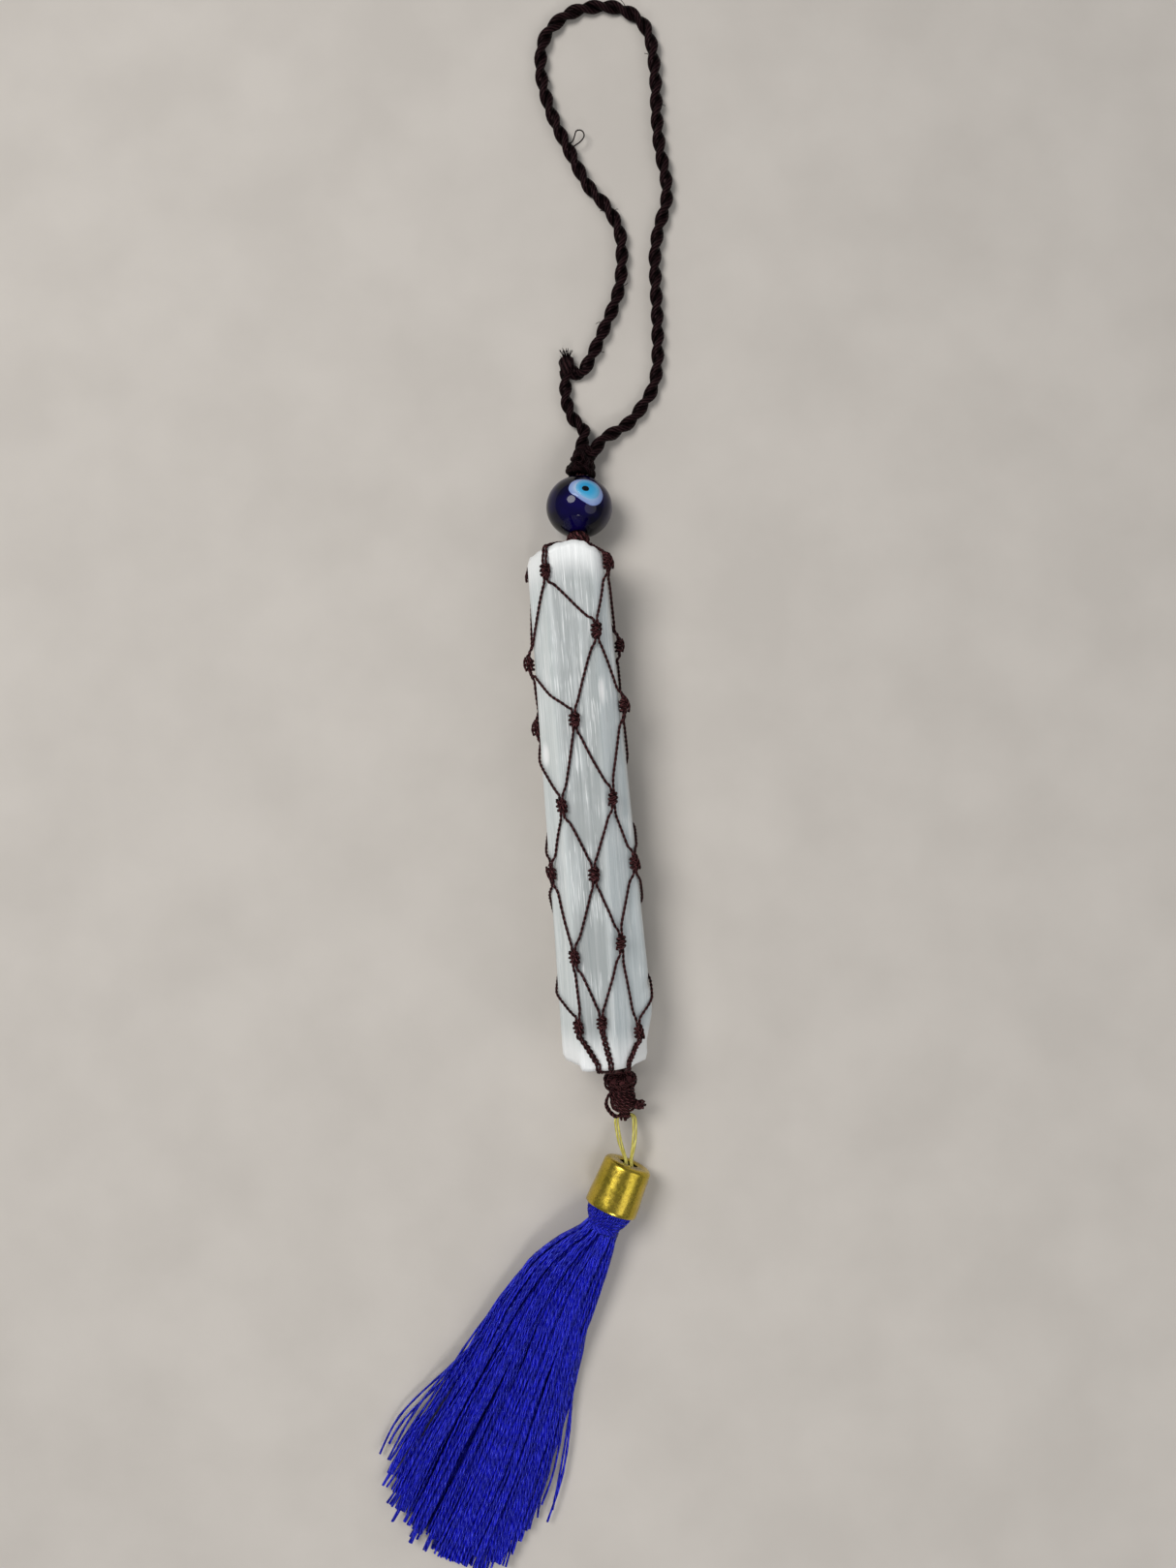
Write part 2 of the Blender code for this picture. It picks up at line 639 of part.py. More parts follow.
cap_top_radius = (CAP_MOUTH_DIAMETER - CAP_TAPER) / 2
cap_hole_radius = GOLD_DIAMETER + NET_GAP / 2 + CAP_HOLE_PLAY
stopper_radius = cap_hole_radius + STOPPER_HOLD / 2
stopper_depth = CAP_WALL + STOPPER_DROP + stopper_radius


def build_gold(pivot, cap_at):
    # Local Z runs from the wrap's eye to the cap's hole; the bend through the eye lies on X.
    half = GOLD_LOOP_WIDTH / 2
    pinch = GOLD_DIAMETER / 2 + NET_GAP / 2
    inside = cap_at + stopper_depth - stopper_radius - GAP
    bend = half * 0.62
    right = [
        (0.0, 0.0), (bend * 0.7, 0.0), (bend + 0.35 * MM, 0.25 * MM), (half - 0.05 * MM, 0.8 * MM),
        (half, 1.7 * MM), (half * 0.8, cap_at * 0.55), (pinch * 1.25, cap_at - 0.9 * MM),
        (pinch, cap_at), (pinch, inside),
    ]
    route = [Vector((-x, 0.0, z)) for x, z in reversed(right[1:])] + [Vector((x, 0.0, z)) for x, z in right]
    tube("gold_loop", smooth_route(route, GOLD_DIAMETER * 1.0), GOLD_DIAMETER, gold_cord, pivot)
    turned("gold_stopper", ball_profile(stopper_radius, cap_at + stopper_depth), 14, gold_cord, pivot)


# ---------------------------------------------------------------- tassel


def build_cap(pivot):
    # Local Z runs from the hole to the mouth.
    mouth = CAP_MOUTH_DIAMETER / 2

    def shell(inset):
        corner = max(CAP_SHOULDER - inset, 0.3 * MM)
        reach = cap_top_radius - inset
        arc = [(reach - corner + corner * math.sin(turn), inset + corner - corner * math.cos(turn))
               for turn in [math.pi / 2 * i / 4 for i in range(5)]]
        return [(cap_hole_radius, inset)] + arc + [(mouth - inset, CAP_HEIGHT)]

    # The outer side runs from the mouth, which is the high end of local Z, to the hole.
    turned("tassel_cap", list(reversed(shell(0.0))) + shell(CAP_WALL), 30, cap_metal, pivot,
           closed=True)


def build_head(pivot):
    bore = CAP_MOUTH_DIAMETER / 2 - CAP_WALL - HEAD_CLEARANCE
    upper = cap_top_radius - CAP_WALL - HEAD_CLEARANCE
    neck = BINDING_DIAMETER / 2 - BINDING_THICKNESS - NET_GAP
    start = stopper_depth + stopper_radius + GAP
    below = CAP_HEIGHT + HEAD_BELOW_CAP
    binding_end = below + NET_GAP + BINDING_WIDTH
    profile = [
        (0.0, binding_end), (neck, binding_end), (neck, below), (neck * 1.22, below - 0.3 * MM),
        (bore, CAP_HEIGHT + 0.9 * MM), (bore, CAP_HEIGHT - 0.6 * MM), (upper * 0.98, start + 0.8 * MM),
        (upper * 0.8, start), (0.0, start),
    ]
    turned("tassel_head", profile, 24, tassel_silk, pivot)
    ring_in = BINDING_DIAMETER / 2 - BINDING_THICKNESS
    ring_out = BINDING_DIAMETER / 2
    ring_start = below + NET_GAP
    ring = [
        (ring_in, binding_end), (ring_out - 0.15 * MM, binding_end), (ring_out, binding_end - 0.3 * MM),
        (ring_out, ring_start + 0.3 * MM), (ring_out - 0.15 * MM, ring_start), (ring_in, ring_start),
    ]
    turned("tassel_binding", ring, 20, tassel_silk, pivot, closed=True)
    return binding_end


def build_skirt(pivot, start, hole_height):
    rings = []
    for distance, shift, half_width, half_depth in SKIRT_SECTIONS:
        # The threads drop from the binding to lie on the table.
        drop = min(1.0, distance / 16.0)
        lying = half_depth * MM + 0.1 * MM - hole_height
        middle = lying * drop ** 0.7
        ring = []
        for side in range(SKIRT_SIDES):
            turn = 2 * math.pi * side / SKIRT_SIDES
            ring.append(Vector((-shift * MM + half_width * MM * math.cos(turn),
                                middle + half_depth * MM * math.sin(turn),
                                start + NET_GAP + distance * MM)))
        rings.append(ring)
    loft("tassel_skirt", rings, tassel_silk, pivot)


# ---------------------------------------------------------------- assembly


def assemble():
    stick_height = stick_axis_height()
    ornament = add_pivot("ornament", None, (LAY_X, LAY_Y, 0.0))
    stick_axis = add_pivot("stick_axis", ornament, (0.0, 0.0, stick_height))
    top_gather = Vector((NECK_X, end_height(NECK_X) + GATHER_REACH, NECK_RISE))
    foot_gather = Vector((WRAP_X, -STICK_LENGTH / 2 - GATHER_REACH, WRAP_RISE))
    lift = Vector((0.0, 0.0, stick_height))
    build_stick(stick_axis)
    build_net(stick_axis, top_gather - lift, foot_gather - lift)

    bead_at = NECK_TO_BEAD + BEAD_LENGTH / 2
    bead_height = BEAD_WIDTH / 2
    neck_pitch = math.degrees(math.asin((NECK_RISE - bead_height) / bead_at))
    neck = add_pivot("neck_pivot", ornament, top_gather, (-90.0 - neck_pitch, 0.0, -NECK_HEADING))
    knot_at = bead_at + BEAD_LENGTH / 2 + GAP + TOP_KNOT_DIAMETER / 2
    build_neck(neck, bead_at, knot_at)
    bead_pivot = add_pivot("bead_pivot", neck, (0.0, 0.0, bead_at))
    build_bead(bead_pivot)

    along = Vector((
        math.sin(math.radians(NECK_HEADING)) * math.cos(math.radians(neck_pitch)),
        math.cos(math.radians(NECK_HEADING)) * math.cos(math.radians(neck_pitch)),
        -math.sin(math.radians(neck_pitch)),
    ))
    knot_middle = top_gather + along * knot_at
    loop_pivot = add_pivot("loop_pivot", ornament, knot_middle)
    build_loop(loop_pivot, knot_middle.z)

    wrap = add_pivot("wrap_pivot", ornament, foot_gather, (90.0 + WRAP_DROP, 0.0, WRAP_HEADING))
    eye_at = build_wrap(wrap)
    down = Vector((
        math.sin(math.radians(WRAP_HEADING)) * math.cos(math.radians(WRAP_DROP)),
        -math.cos(math.radians(WRAP_HEADING)) * math.cos(math.radians(WRAP_DROP)),
        -math.sin(math.radians(WRAP_DROP)),
    ))
    eye_middle = foot_gather + down * eye_at
    cap_height = CAP_MOUTH_DIAMETER / 2
    gold_rise = math.degrees(math.asin((cap_height - eye_middle.z) / GOLD_LOOP_LENGTH))
    gold = add_pivot("gold_pivot", ornament, eye_middle, (90.0 - gold_rise, 0.0, GOLD_HEADING))
    build_gold(gold, GOLD_LOOP_LENGTH)
    level = math.cos(math.radians(gold_rise)) * GOLD_LOOP_LENGTH
    hole_middle = Vector((
        eye_middle.x + math.sin(math.radians(GOLD_HEADING)) * level,
        eye_middle.y - math.cos(math.radians(GOLD_HEADING)) * level,
        cap_height,
    ))
    tassel = add_pivot("tassel_pivot", ornament, hole_middle, (90.0, 0.0, TASSEL_HEADING))
    build_cap(tassel)
    binding_end = build_head(tassel)
    build_skirt(tassel, binding_end, hole_middle.z)


assemble()
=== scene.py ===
import json
import math
import random

import bmesh
import bpy
from mathutils import Matrix, Vector, noise


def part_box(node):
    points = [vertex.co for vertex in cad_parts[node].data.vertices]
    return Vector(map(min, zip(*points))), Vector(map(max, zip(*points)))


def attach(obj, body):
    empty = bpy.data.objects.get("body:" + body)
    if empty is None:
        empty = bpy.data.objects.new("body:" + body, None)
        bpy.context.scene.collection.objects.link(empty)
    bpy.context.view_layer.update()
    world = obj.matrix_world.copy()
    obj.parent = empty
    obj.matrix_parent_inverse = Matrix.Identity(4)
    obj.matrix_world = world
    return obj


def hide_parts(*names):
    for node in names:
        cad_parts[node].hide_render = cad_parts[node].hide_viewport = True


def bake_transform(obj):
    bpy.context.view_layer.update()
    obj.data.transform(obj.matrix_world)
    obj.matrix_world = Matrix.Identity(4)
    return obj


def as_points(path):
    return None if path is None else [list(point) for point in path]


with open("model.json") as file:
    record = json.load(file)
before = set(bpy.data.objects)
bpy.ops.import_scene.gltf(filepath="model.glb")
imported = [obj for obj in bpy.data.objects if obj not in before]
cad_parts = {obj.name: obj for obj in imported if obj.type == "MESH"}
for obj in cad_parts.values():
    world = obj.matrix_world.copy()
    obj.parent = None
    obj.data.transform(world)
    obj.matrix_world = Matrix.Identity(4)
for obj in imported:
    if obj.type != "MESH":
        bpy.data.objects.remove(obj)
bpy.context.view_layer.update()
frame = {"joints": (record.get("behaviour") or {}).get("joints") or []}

mm = 0.001
joints = {joint["name"]: Vector(joint["pos_m"]) for joint in frame["joints"]}


def middleOf(node):
    low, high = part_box(node)
    return (low + high) / 2


def axesAlong(start, stop, across=Vector((1, 0, 0))):
    # Columns are sideways, upwards and along, from one point to another.
    along = (stop - start).normalized()
    up = along.cross(across).normalized()
    if up.z < 0:
        up = -up
    side = up.cross(along).normalized()
    return Matrix((side, up, along)).transposed()


# Camera

view = {"height": 300 * mm, "lens": 35.96, "turn": 4.5, "shiftX": 0.3 * mm, "shiftY": 4.35 * mm}
stickLow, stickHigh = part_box("selenite_stick")
neckStart, wrapStart = joints["neck_swing"], joints["wrap_swing"]
stickX = neckStart.x - 2.0 * mm  # the cords gather 2 mm to the side of the stick's axis


def addCamera(middle):
    data = bpy.data.cameras.new("cameraAbove")
    data.lens = view["lens"]
    data.sensor_width = 36
    camera = bpy.data.objects.new("cameraAbove", data)
    camera.location = (middle.x + view["shiftX"], middle.y + view["shiftY"], view["height"])
    camera.rotation_euler = (0, 0, -math.radians(view["turn"]))
    bpy.context.scene.collection.objects.link(camera)
    bpy.context.scene.camera = camera


# Helpers for nodes


def put(tree, kind, wires=None, **settings):
    made = tree.nodes.new(kind)
    for key, value in settings.items():
        setattr(made, key, value)
    for key, value in (wires or {}).items():
        wire(tree, made.inputs[key], value)
    return made


def wire(tree, socket, value):
    if isinstance(value, bpy.types.NodeSocket):
        tree.links.new(value, socket)
    else:
        socket.default_value = value


def calc(tree, operation, first, second=None, third=None):
    wires = {0: first}
    if second is not None:
        wires[1] = second
    if third is not None:
        wires[2] = third
    return put(tree, "ShaderNodeMath", wires, operation=operation).outputs[0]


def blendColour(tree, share, first, second, kind="MIX"):
    made = put(tree, "ShaderNodeMix", {"Factor": share}, data_type="RGBA", blend_type=kind)
    wire(tree, made.inputs[6], first)
    wire(tree, made.inputs[7], second)
    return made.outputs[2]


def ramp(tree, value, stops):
    made = put(tree, "ShaderNodeValToRGB", {"Fac": value})
    band = made.color_ramp.elements
    while len(band) < len(stops):
        band.new(0.5)
    for element, (place, shade) in zip(band, stops):
        element.position = place
        element.color = (shade, shade, shade, 1) if isinstance(shade, (int, float)) else shade
    return made.outputs[0]


def spread(tree, value, low, high, newLow=0.0, newHigh=1.0):
    return put(tree, "ShaderNodeMapRange", {"Value": value, "From Min": low, "From Max": high,
                                            "To Min": newLow, "To Max": newHigh}).outputs[0]


def newGroup(name, inputs, outputs):
    tree = bpy.data.node_groups.new(name, "ShaderNodeTree")
    for label, kind, start in inputs:
        socket = tree.interface.new_socket(name=label, in_out="INPUT", socket_type="NodeSocket" + kind)
        if start is not None:
            socket.default_value = start
    for label, kind in outputs:
        tree.interface.new_socket(name=label, in_out="OUTPUT", socket_type="NodeSocket" + kind)
    return tree, tree.nodes.new("NodeGroupInput").outputs, tree.nodes.new("NodeGroupOutput").inputs


def useGroup(tree, group, wires):
    made = tree.nodes.new("ShaderNodeGroup")
    made.node_tree = group
    for key, value in wires.items():
        wire(tree, made.inputs[key], value)
    return made.outputs


def newMaterial(name, **fixed):
    # The shader's own even values are set on its sockets.
    material = bpy.data.materials.new(name)
    material.use_nodes = True
    tree = material.node_tree
    shader = tree.nodes["Principled BSDF"]
    for label, value in fixed.items():
        shader.inputs[label.replace("_", " ")].default_value = value
    return material, tree, shader


def attribute(tree, name, kind="Fac"):
    return put(tree, "ShaderNodeAttribute", attribute_name=name).outputs[kind]


def objectPoint(tree, scale=(1, 1, 1), turn=(0, 0, 0)):
    place = put(tree, "ShaderNodeTexCoord").outputs["Object"]
    return put(tree, "ShaderNodeMapping", {"Vector": place, "Scale": scale, "Rotation": turn}).outputs[0]


# Shared effects


def fibreGroup():
    # Twisted fibres on a cord, from the length along it and the direction around it. The second output is painted
    # light: each ridge of the twist lighter as a painted highlight, the grooves between ridges darker as painted shade,
    # with a random unevenness in tone.
    tree, into, out = newGroup(
        "twistedFibres",
        [("Along", "Float", 0), ("Around", "Vector", None), ("Fibres", "Float", 8), ("Twist", "Float", 900),
         ("Unevenness", "Float", 0.5), ("Fineness", "Float", 900)],
        [("Height", "Float"), ("RidgeHighlightAndTone", "Float")])
    parts = put(tree, "ShaderNodeSeparateXYZ", {0: into["Around"]}).outputs
    angle = calc(tree, "ARCTAN2", parts[1], parts[0])
    phase = calc(tree, "ADD", calc(tree, "MULTIPLY", angle, into["Fibres"]),
                 calc(tree, "MULTIPLY", into["Along"], into["Twist"]))
    place = put(tree, "ShaderNodeTexCoord").outputs["Object"]
    stray = put(tree, "ShaderNodeTexNoise", {"Vector": place, "Scale": into["Fineness"], "Detail": 2.0})
    phase = calc(tree, "ADD", phase, calc(tree, "MULTIPLY", stray.outputs[0],
                                          calc(tree, "MULTIPLY", into["Unevenness"], 4.0)))
    ridge = calc(tree, "MULTIPLY_ADD", calc(tree, "SINE", phase), 0.5, 0.5)
    rounded = calc(tree, "POWER", ridge, 0.6)
    wire(tree, out["Height"], rounded)
    # painted highlight on each ridge of the twist and painted shade between ridges, times a random unevenness in tone
    ridgeHighlight = calc(tree, "POWER", ridge, 1.4)
    wire(tree, out["RidgeHighlightAndTone"], calc(tree, "MULTIPLY", ridgeHighlight, spread(tree, stray.outputs[0], 0.3, 0.7, 0.45, 1.0)))
    return tree


def streakGroup():
    # Fine parallel fibres of the crystal, short white splits along them, and cloudy patches.
    tree, into, out = newGroup(
        "crystalStreaks",
        [("Place", "Vector", None), ("Fineness", "Float", 2600), ("Stretch", "Float", 0.05)],
        [("Fibres", "Float"), ("Splits", "Float"), ("Clouds", "Float"), ("Height", "Float")])

    def stretched(amount, fineness, detail):
        shape = put(tree, "ShaderNodeCombineXYZ", {0: 1.0, 1: amount, 2: 1.0}).outputs[0]
        place = put(tree, "ShaderNodeVectorMath", {0: into["Place"], 1: shape}, operation="MULTIPLY").outputs[0]
        return put(tree, "ShaderNodeTexNoise", {"Vector": place, "Scale": fineness, "Detail": detail,
                                                "Roughness": 0.55}).outputs[0]

    hair = stretched(calc(tree, "MULTIPLY", into["Stretch"], 0.2), calc(tree, "MULTIPLY", into["Fineness"], 2.0), 2.0)
    dash = stretched(into["Stretch"], into["Fineness"], 2.0)
    broad = stretched(calc(tree, "MULTIPLY", into["Stretch"], 0.5), calc(tree, "MULTIPLY", into["Fineness"], 0.28), 3.0)
    patch = put(tree, "ShaderNodeTexNoise", {"Vector": into["Place"], "Scale": 110.0, "Detail": 3.0}).outputs[0]
    wire(tree, out["Fibres"], spread(tree, calc(tree, "ADD", calc(tree, "MULTIPLY", hair, 0.5),
                                                calc(tree, "MULTIPLY", broad, 0.5)), 0.36, 0.62))
    wire(tree, out["Splits"], spread(tree, calc(tree, "MULTIPLY", dash, spread(tree, patch, 0.3, 0.6, 0.82, 1.12)),
                                     0.60, 0.68))
    wire(tree, out["Clouds"], spread(tree, calc(tree, "MULTIPLY", patch, broad), 0.20, 0.36))
    wire(tree, out["Height"], calc(tree, "ADD", calc(tree, "MULTIPLY", hair, 0.5), calc(tree, "MULTIPLY", dash, 0.5)))
    return tree


def rubGroup():
    # Uneven rubbing and handling marks, for gloss that varies over a surface.
    tree, into, out = newGroup(
        "rubbedMarks", [("Place", "Vector", None), ("Size", "Float", 300), ("Amount", "Float", 0.2)],
        [("Rough", "Float"), ("Mask", "Float")])
    marks = put(tree, "ShaderNodeTexNoise", {"Vector": into["Place"], "Scale": into["Size"], "Detail": 5.0,
                                             "Roughness": 0.65}).outputs[0]
    mask = spread(tree, marks, 0.42, 0.62)
    wire(tree, out["Mask"], mask)
    wire(tree, out["Rough"], calc(tree, "MULTIPLY", mask, into["Amount"]))
    return tree


fibres, streaks, rubbing = fibreGroup(), streakGroup(), rubGroup()


# Materials


def cordMaterial(name, look):
    material, tree, shader = newMaterial(
        name, IOR=1.5, Sheen_Weight=look["sheen"], Sheen_Roughness=0.4, Sheen_Tint=look["sheenTint"],
        Metallic=look.get("metal", 0.0), Specular_Tint=look["shine"], Specular_IOR_Level=look["level"])
    along = calc(tree, "MULTIPLY_ADD", attribute(tree, "thread"), 0.05, attribute(tree, "along"))
    parts = useGroup(tree, fibres, {"Along": along, "Around": attribute(tree, "around", "Vector"),
                                    "Fibres": look["fibres"], "Twist": look["twist"],
                                    "Unevenness": look["uneven"], "Fineness": look["fineness"]})
    # dark colour in the grooves and light colour on the ridges of the twist: painted shade and painted highlight
    colour = blendColour(tree, parts["RidgeHighlightAndTone"], look["dark"], look["light"])
    perThread = spread(tree, attribute(tree, "thread"), 0, 1, 1 - look["vary"], 1.0)
    # each thread's random tone, times a painted shade that darkens the grooves between the plies down to deep
    depth = calc(tree, "MULTIPLY", perThread, spread(tree, attribute(tree, "valley"), 0.05, 0.75, 1.0, look["deep"]))
    toneAndGrooveShade = put(tree, "ShaderNodeCombineXYZ", {0: depth, 1: depth, 2: depth}).outputs[0]
    colour = blendColour(tree, 1.0, colour, toneAndGrooveShade, "MULTIPLY")
    wire(tree, shader.inputs["Base Color"], colour)
    marks = useGroup(tree, rubbing, {"Place": objectPoint(tree), "Size": 500.0, "Amount": look["roughVary"]})
    wire(tree, shader.inputs["Roughness"], calc(tree, "ADD", marks["Rough"], look["rough"]))
    bump = put(tree, "ShaderNodeBump", {"Height": parts["Height"], "Strength": look["bump"],
                                        "Distance": look["bumpDepth"]})
    wire(tree, shader.inputs["Normal"], bump.outputs[0])
    return material


def colour(red, green, blue):
    # Screen values from 0 to 255, as linear light.
    def linear(value):
        share = value / 255
        return share / 12.92 if share <= 0.04045 else ((share + 0.055) / 1.055) ** 2.4
    return (linear(red), linear(green), linear(blue), 1)


# In each look, dark and light are the painted shade and painted highlight of the twist, and deep is how dark the
# painted shade in the grooves between plies goes.
netLook = {"dark": colour(3, 1, 1), "light": colour(132, 78, 81), "sheen": 0.0, "sheenTint": colour(200, 120, 110),
           "shine": colour(240, 185, 185), "level": 0.15,
           "fibres": 3.0, "twist": -3600.0, "uneven": 0.5, "fineness": 1500.0, "vary": 0.35, "rough": 0.28,
           "roughVary": 0.25, "bump": 0.8, "bumpDepth": 0.08 * mm, "deep": 0.08}
ropeLook = {"dark": colour(1, 0, 1), "light": colour(50, 31, 33), "sheen": 0.0, "sheenTint": colour(190, 110, 100),
            "shine": colour(240, 190, 195), "level": 0.1,
            "fibres": 8.0, "twist": -2400.0, "uneven": 0.6, "fineness": 900.0, "vary": 0.15, "rough": 0.30,
            "roughVary": 0.25, "bump": 0.9, "bumpDepth": 0.14 * mm, "deep": 0.05}
goldLook = {"dark": colour(196, 184, 84), "light": colour(246, 238, 138), "sheen": 0.0,
            "sheenTint": colour(255, 250, 190), "shine": colour(255, 255, 220), "level": 0.7,
            "fibres": 2.0, "twist": 2600.0, "uneven": 0.1, "fineness": 900.0,
            "vary": 0.05, "rough": 0.20, "roughVary": 0.12, "bump": 0.3, "bumpDepth": 0.03 * mm, "metal": 0.2,
            "deep": 0.9}
silkLook = {"dark": colour(2, 2, 205), "light": colour(76, 80, 255), "sheen": 0.0,
            "sheenTint": colour(90, 110, 255), "shine": colour(110, 130, 255), "level": 1.0,
            "fibres": 2.0, "twist": 2500.0, "uneven": 0.2, "fineness": 700.0,
            "vary": 0.4, "rough": 0.22, "roughVary": 0.15, "bump": 1.0, "bumpDepth": 0.14 * mm,
            "deep": 0.25}


def stoneMaterial():
    material, tree, shader = newMaterial("seleniteStone", IOR=1.52, Subsurface_Weight=0.35, Subsurface_Scale=0.002,
                                         Coat_Weight=0.15, Coat_Roughness=0.25)
    shader.inputs["Subsurface Radius"].default_value = (1.0, 1.0, 1.0)
    parts = useGroup(tree, streaks, {"Place": objectPoint(tree), "Fineness": 3800.0, "Stretch": 0.035})
    # Painted light by facet: each facet gets its own tone for how the light falls on it, the side facets lighter and
    # the top facet a darker painted shade.
    facet = put(tree, "ShaderNodeSeparateColor", {0: attribute(tree, "facet", "Color")}).outputs
    side = blendColour(tree, facet[2], colour(222, 227, 226), colour(211, 218, 220))
    facetShadedBase = blendColour(tree, facet[0], side, colour(178, 182, 182))  # the top facet is painted darkest, as painted shade
    facetShadedBase = blendColour(tree, calc(tree, "MULTIPLY", parts["Clouds"], 0.4), facetShadedBase, colour(222, 228, 229))
    dark = blendColour(tree, 1.0, facetShadedBase, colour(226, 230, 231), "MULTIPLY")
    body = blendColour(tree, parts["Fibres"], dark, facetShadedBase)
    body = blendColour(tree, calc(tree, "MULTIPLY", parts["Splits"], 0.55), body, colour(250, 252, 252))
    body = blendColour(tree, attribute(tree, "chip"), body, colour(252, 254, 254))
    wire(tree, shader.inputs["Base Color"], body)
    rough = useGroup(tree, rubbing, {"Place": objectPoint(tree, (1, 0.15, 1)), "Size": 400.0, "Amount": 0.25})
    wire(tree, shader.inputs["Roughness"], calc(tree, "ADD", rough["Rough"], 0.30))
    bump = put(tree, "ShaderNodeBump", {"Height": parts["Height"], "Strength": 0.55, "Distance": 0.12 * mm})
    wire(tree, shader.inputs["Normal"], bump.outputs[0])
    return material


def glassMaterial(name, deep, pale, edge=None):
    # Opaque glass: a slow cloud of two shades, with tiny bubbles in the polish.
    material, tree, shader = newMaterial(name, IOR=1.36, Specular_IOR_Level=0.4)
    place = objectPoint(tree)
    cloud = put(tree, "ShaderNodeTexNoise", {"Vector": place, "Scale": 160.0, "Detail": 2.0}).outputs[0]
    mixed = blendColour(tree, spread(tree, cloud, 0.38, 0.64), deep, pale)
    if edge is not None:
        mixed = blendColour(tree, attribute(tree, "rim"), mixed, edge)
    wire(tree, shader.inputs["Base Color"], mixed)
    marks = useGroup(tree, rubbing, {"Place": place, "Size": 260.0, "Amount": 0.06})
    wire(tree, shader.inputs["Roughness"], calc(tree, "ADD", marks["Rough"], 0.05))
    bubbles = put(tree, "ShaderNodeTexVoronoi", {"Vector": place, "Scale": 420.0}).outputs[0]
    pits = calc(tree, "LESS_THAN", bubbles, 0.10)
    bump = put(tree, "ShaderNodeBump", {"Height": pits, "Strength": 0.15, "Distance": 0.02 * mm})
    bump.invert = True
    wire(tree, shader.inputs["Normal"], bump.outputs[0])
    return material


def capMaterial():
    material, tree, shader = newMaterial("brushedBrass", Metallic=1.0)
    place = objectPoint(tree)
    fineMarks = put(tree, "ShaderNodeTexNoise", {"Vector": place, "Scale": 3400.0, "Detail": 3.0}).outputs[0]
    crinkle = put(tree, "ShaderNodeTexVoronoi", {"Vector": place, "Scale": 3000.0}, feature="SMOOTH_F1").outputs[0]
    tarnish = put(tree, "ShaderNodeTexNoise", {"Vector": place, "Scale": 260.0, "Detail": 4.0}).outputs[0]
    tone = blendColour(tree, spread(tree, tarnish, 0.40, 0.66), colour(208, 182, 72), colour(188, 168, 58))
    tone = blendColour(tree, spread(tree, fineMarks, 0.50, 0.80), tone, colour(150, 124, 40))
    wire(tree, shader.inputs["Base Color"], tone)
    marks = useGroup(tree, rubbing, {"Place": place, "Size": 900.0, "Amount": 0.12})
    wire(tree, shader.inputs["Roughness"], calc(tree, "ADD", marks["Rough"], 0.20))
    relief = calc(tree, "ADD", calc(tree, "MULTIPLY", fineMarks, 0.5), crinkle)
    bump = put(tree, "ShaderNodeBump", {"Height": relief, "Strength": 0.22, "Distance": 0.02 * mm})
    wire(tree, shader.inputs["Normal"], bump.outputs[0])
    return material


def floorMaterial():
    material, tree, shader = newMaterial("paleTable")
    place = objectPoint(tree)
    mottle = put(tree, "ShaderNodeTexNoise", {"Vector": place, "Scale": 45.0, "Detail": 5.0}).outputs[0]
    wire(tree, shader.inputs["Base Color"],
         blendColour(tree, spread(tree, mottle, 0.35, 0.65), colour(194, 188, 181), colour(201, 195, 188)))
    grain = put(tree, "ShaderNodeTexNoise", {"Vector": place, "Scale": 900.0, "Detail": 3.0}).outputs[0]
    bump = put(tree, "ShaderNodeBump", {"Height": grain, "Strength": 0.15, "Distance": 0.1 * mm})
    wire(tree, shader.inputs["Normal"], bump.outputs[0])
    shader.inputs["Roughness"].default_value = 0.75
    return material


waxedCord = cordMaterial("waxedNetCord", netLook)
hangingRope = cordMaterial("hangingRopeCord", ropeLook)
goldThread = cordMaterial("goldThread", goldLook)
royalSilk = cordMaterial("royalBlueSilk", silkLook)
stone = stoneMaterial()
cobalt = glassMaterial("cobaltGlass", colour(2, 1, 12), colour(11, 3, 66))
eyeMilk = glassMaterial("milkGlass", colour(186, 206, 226), colour(160, 192, 222), colour(126, 146, 200))
eyeSky = glassMaterial("turquoiseGlass", colour(34, 142, 200), colour(62, 166, 214), colour(112, 176, 216))
eyeInk = glassMaterial("blackGlass", colour(4, 6, 10), colour(8, 14, 24))
brass = capMaterial()
table = floorMaterial()
print("materials ready")


# Cord sweeping and other mesh makers


def treeSockets(tree, inputs):
    for label, kind in inputs:
        tree.interface.new_socket(name=label, in_out="INPUT", socket_type="NodeSocket" + kind)
    tree.interface.new_socket(name="Geometry", in_out="OUTPUT", socket_type="NodeSocketGeometry")
    return tree.nodes.new("NodeGroupInput").outputs, tree.nodes.new("NodeGroupOutput").inputs


def finishTree(tree, into, out, geometry):
    smooth = put(tree, "GeometryNodeSetShadeSmooth", {"Geometry": geometry}).outputs[0]
    real = put(tree, "GeometryNodeRealizeInstances", {"Geometry": smooth}).outputs[0]
    tree.links.new(put(tree, "GeometryNodeSetMaterial", {"Geometry": real, "Material": into["Material"]}).outputs[0],
                   out["Geometry"])


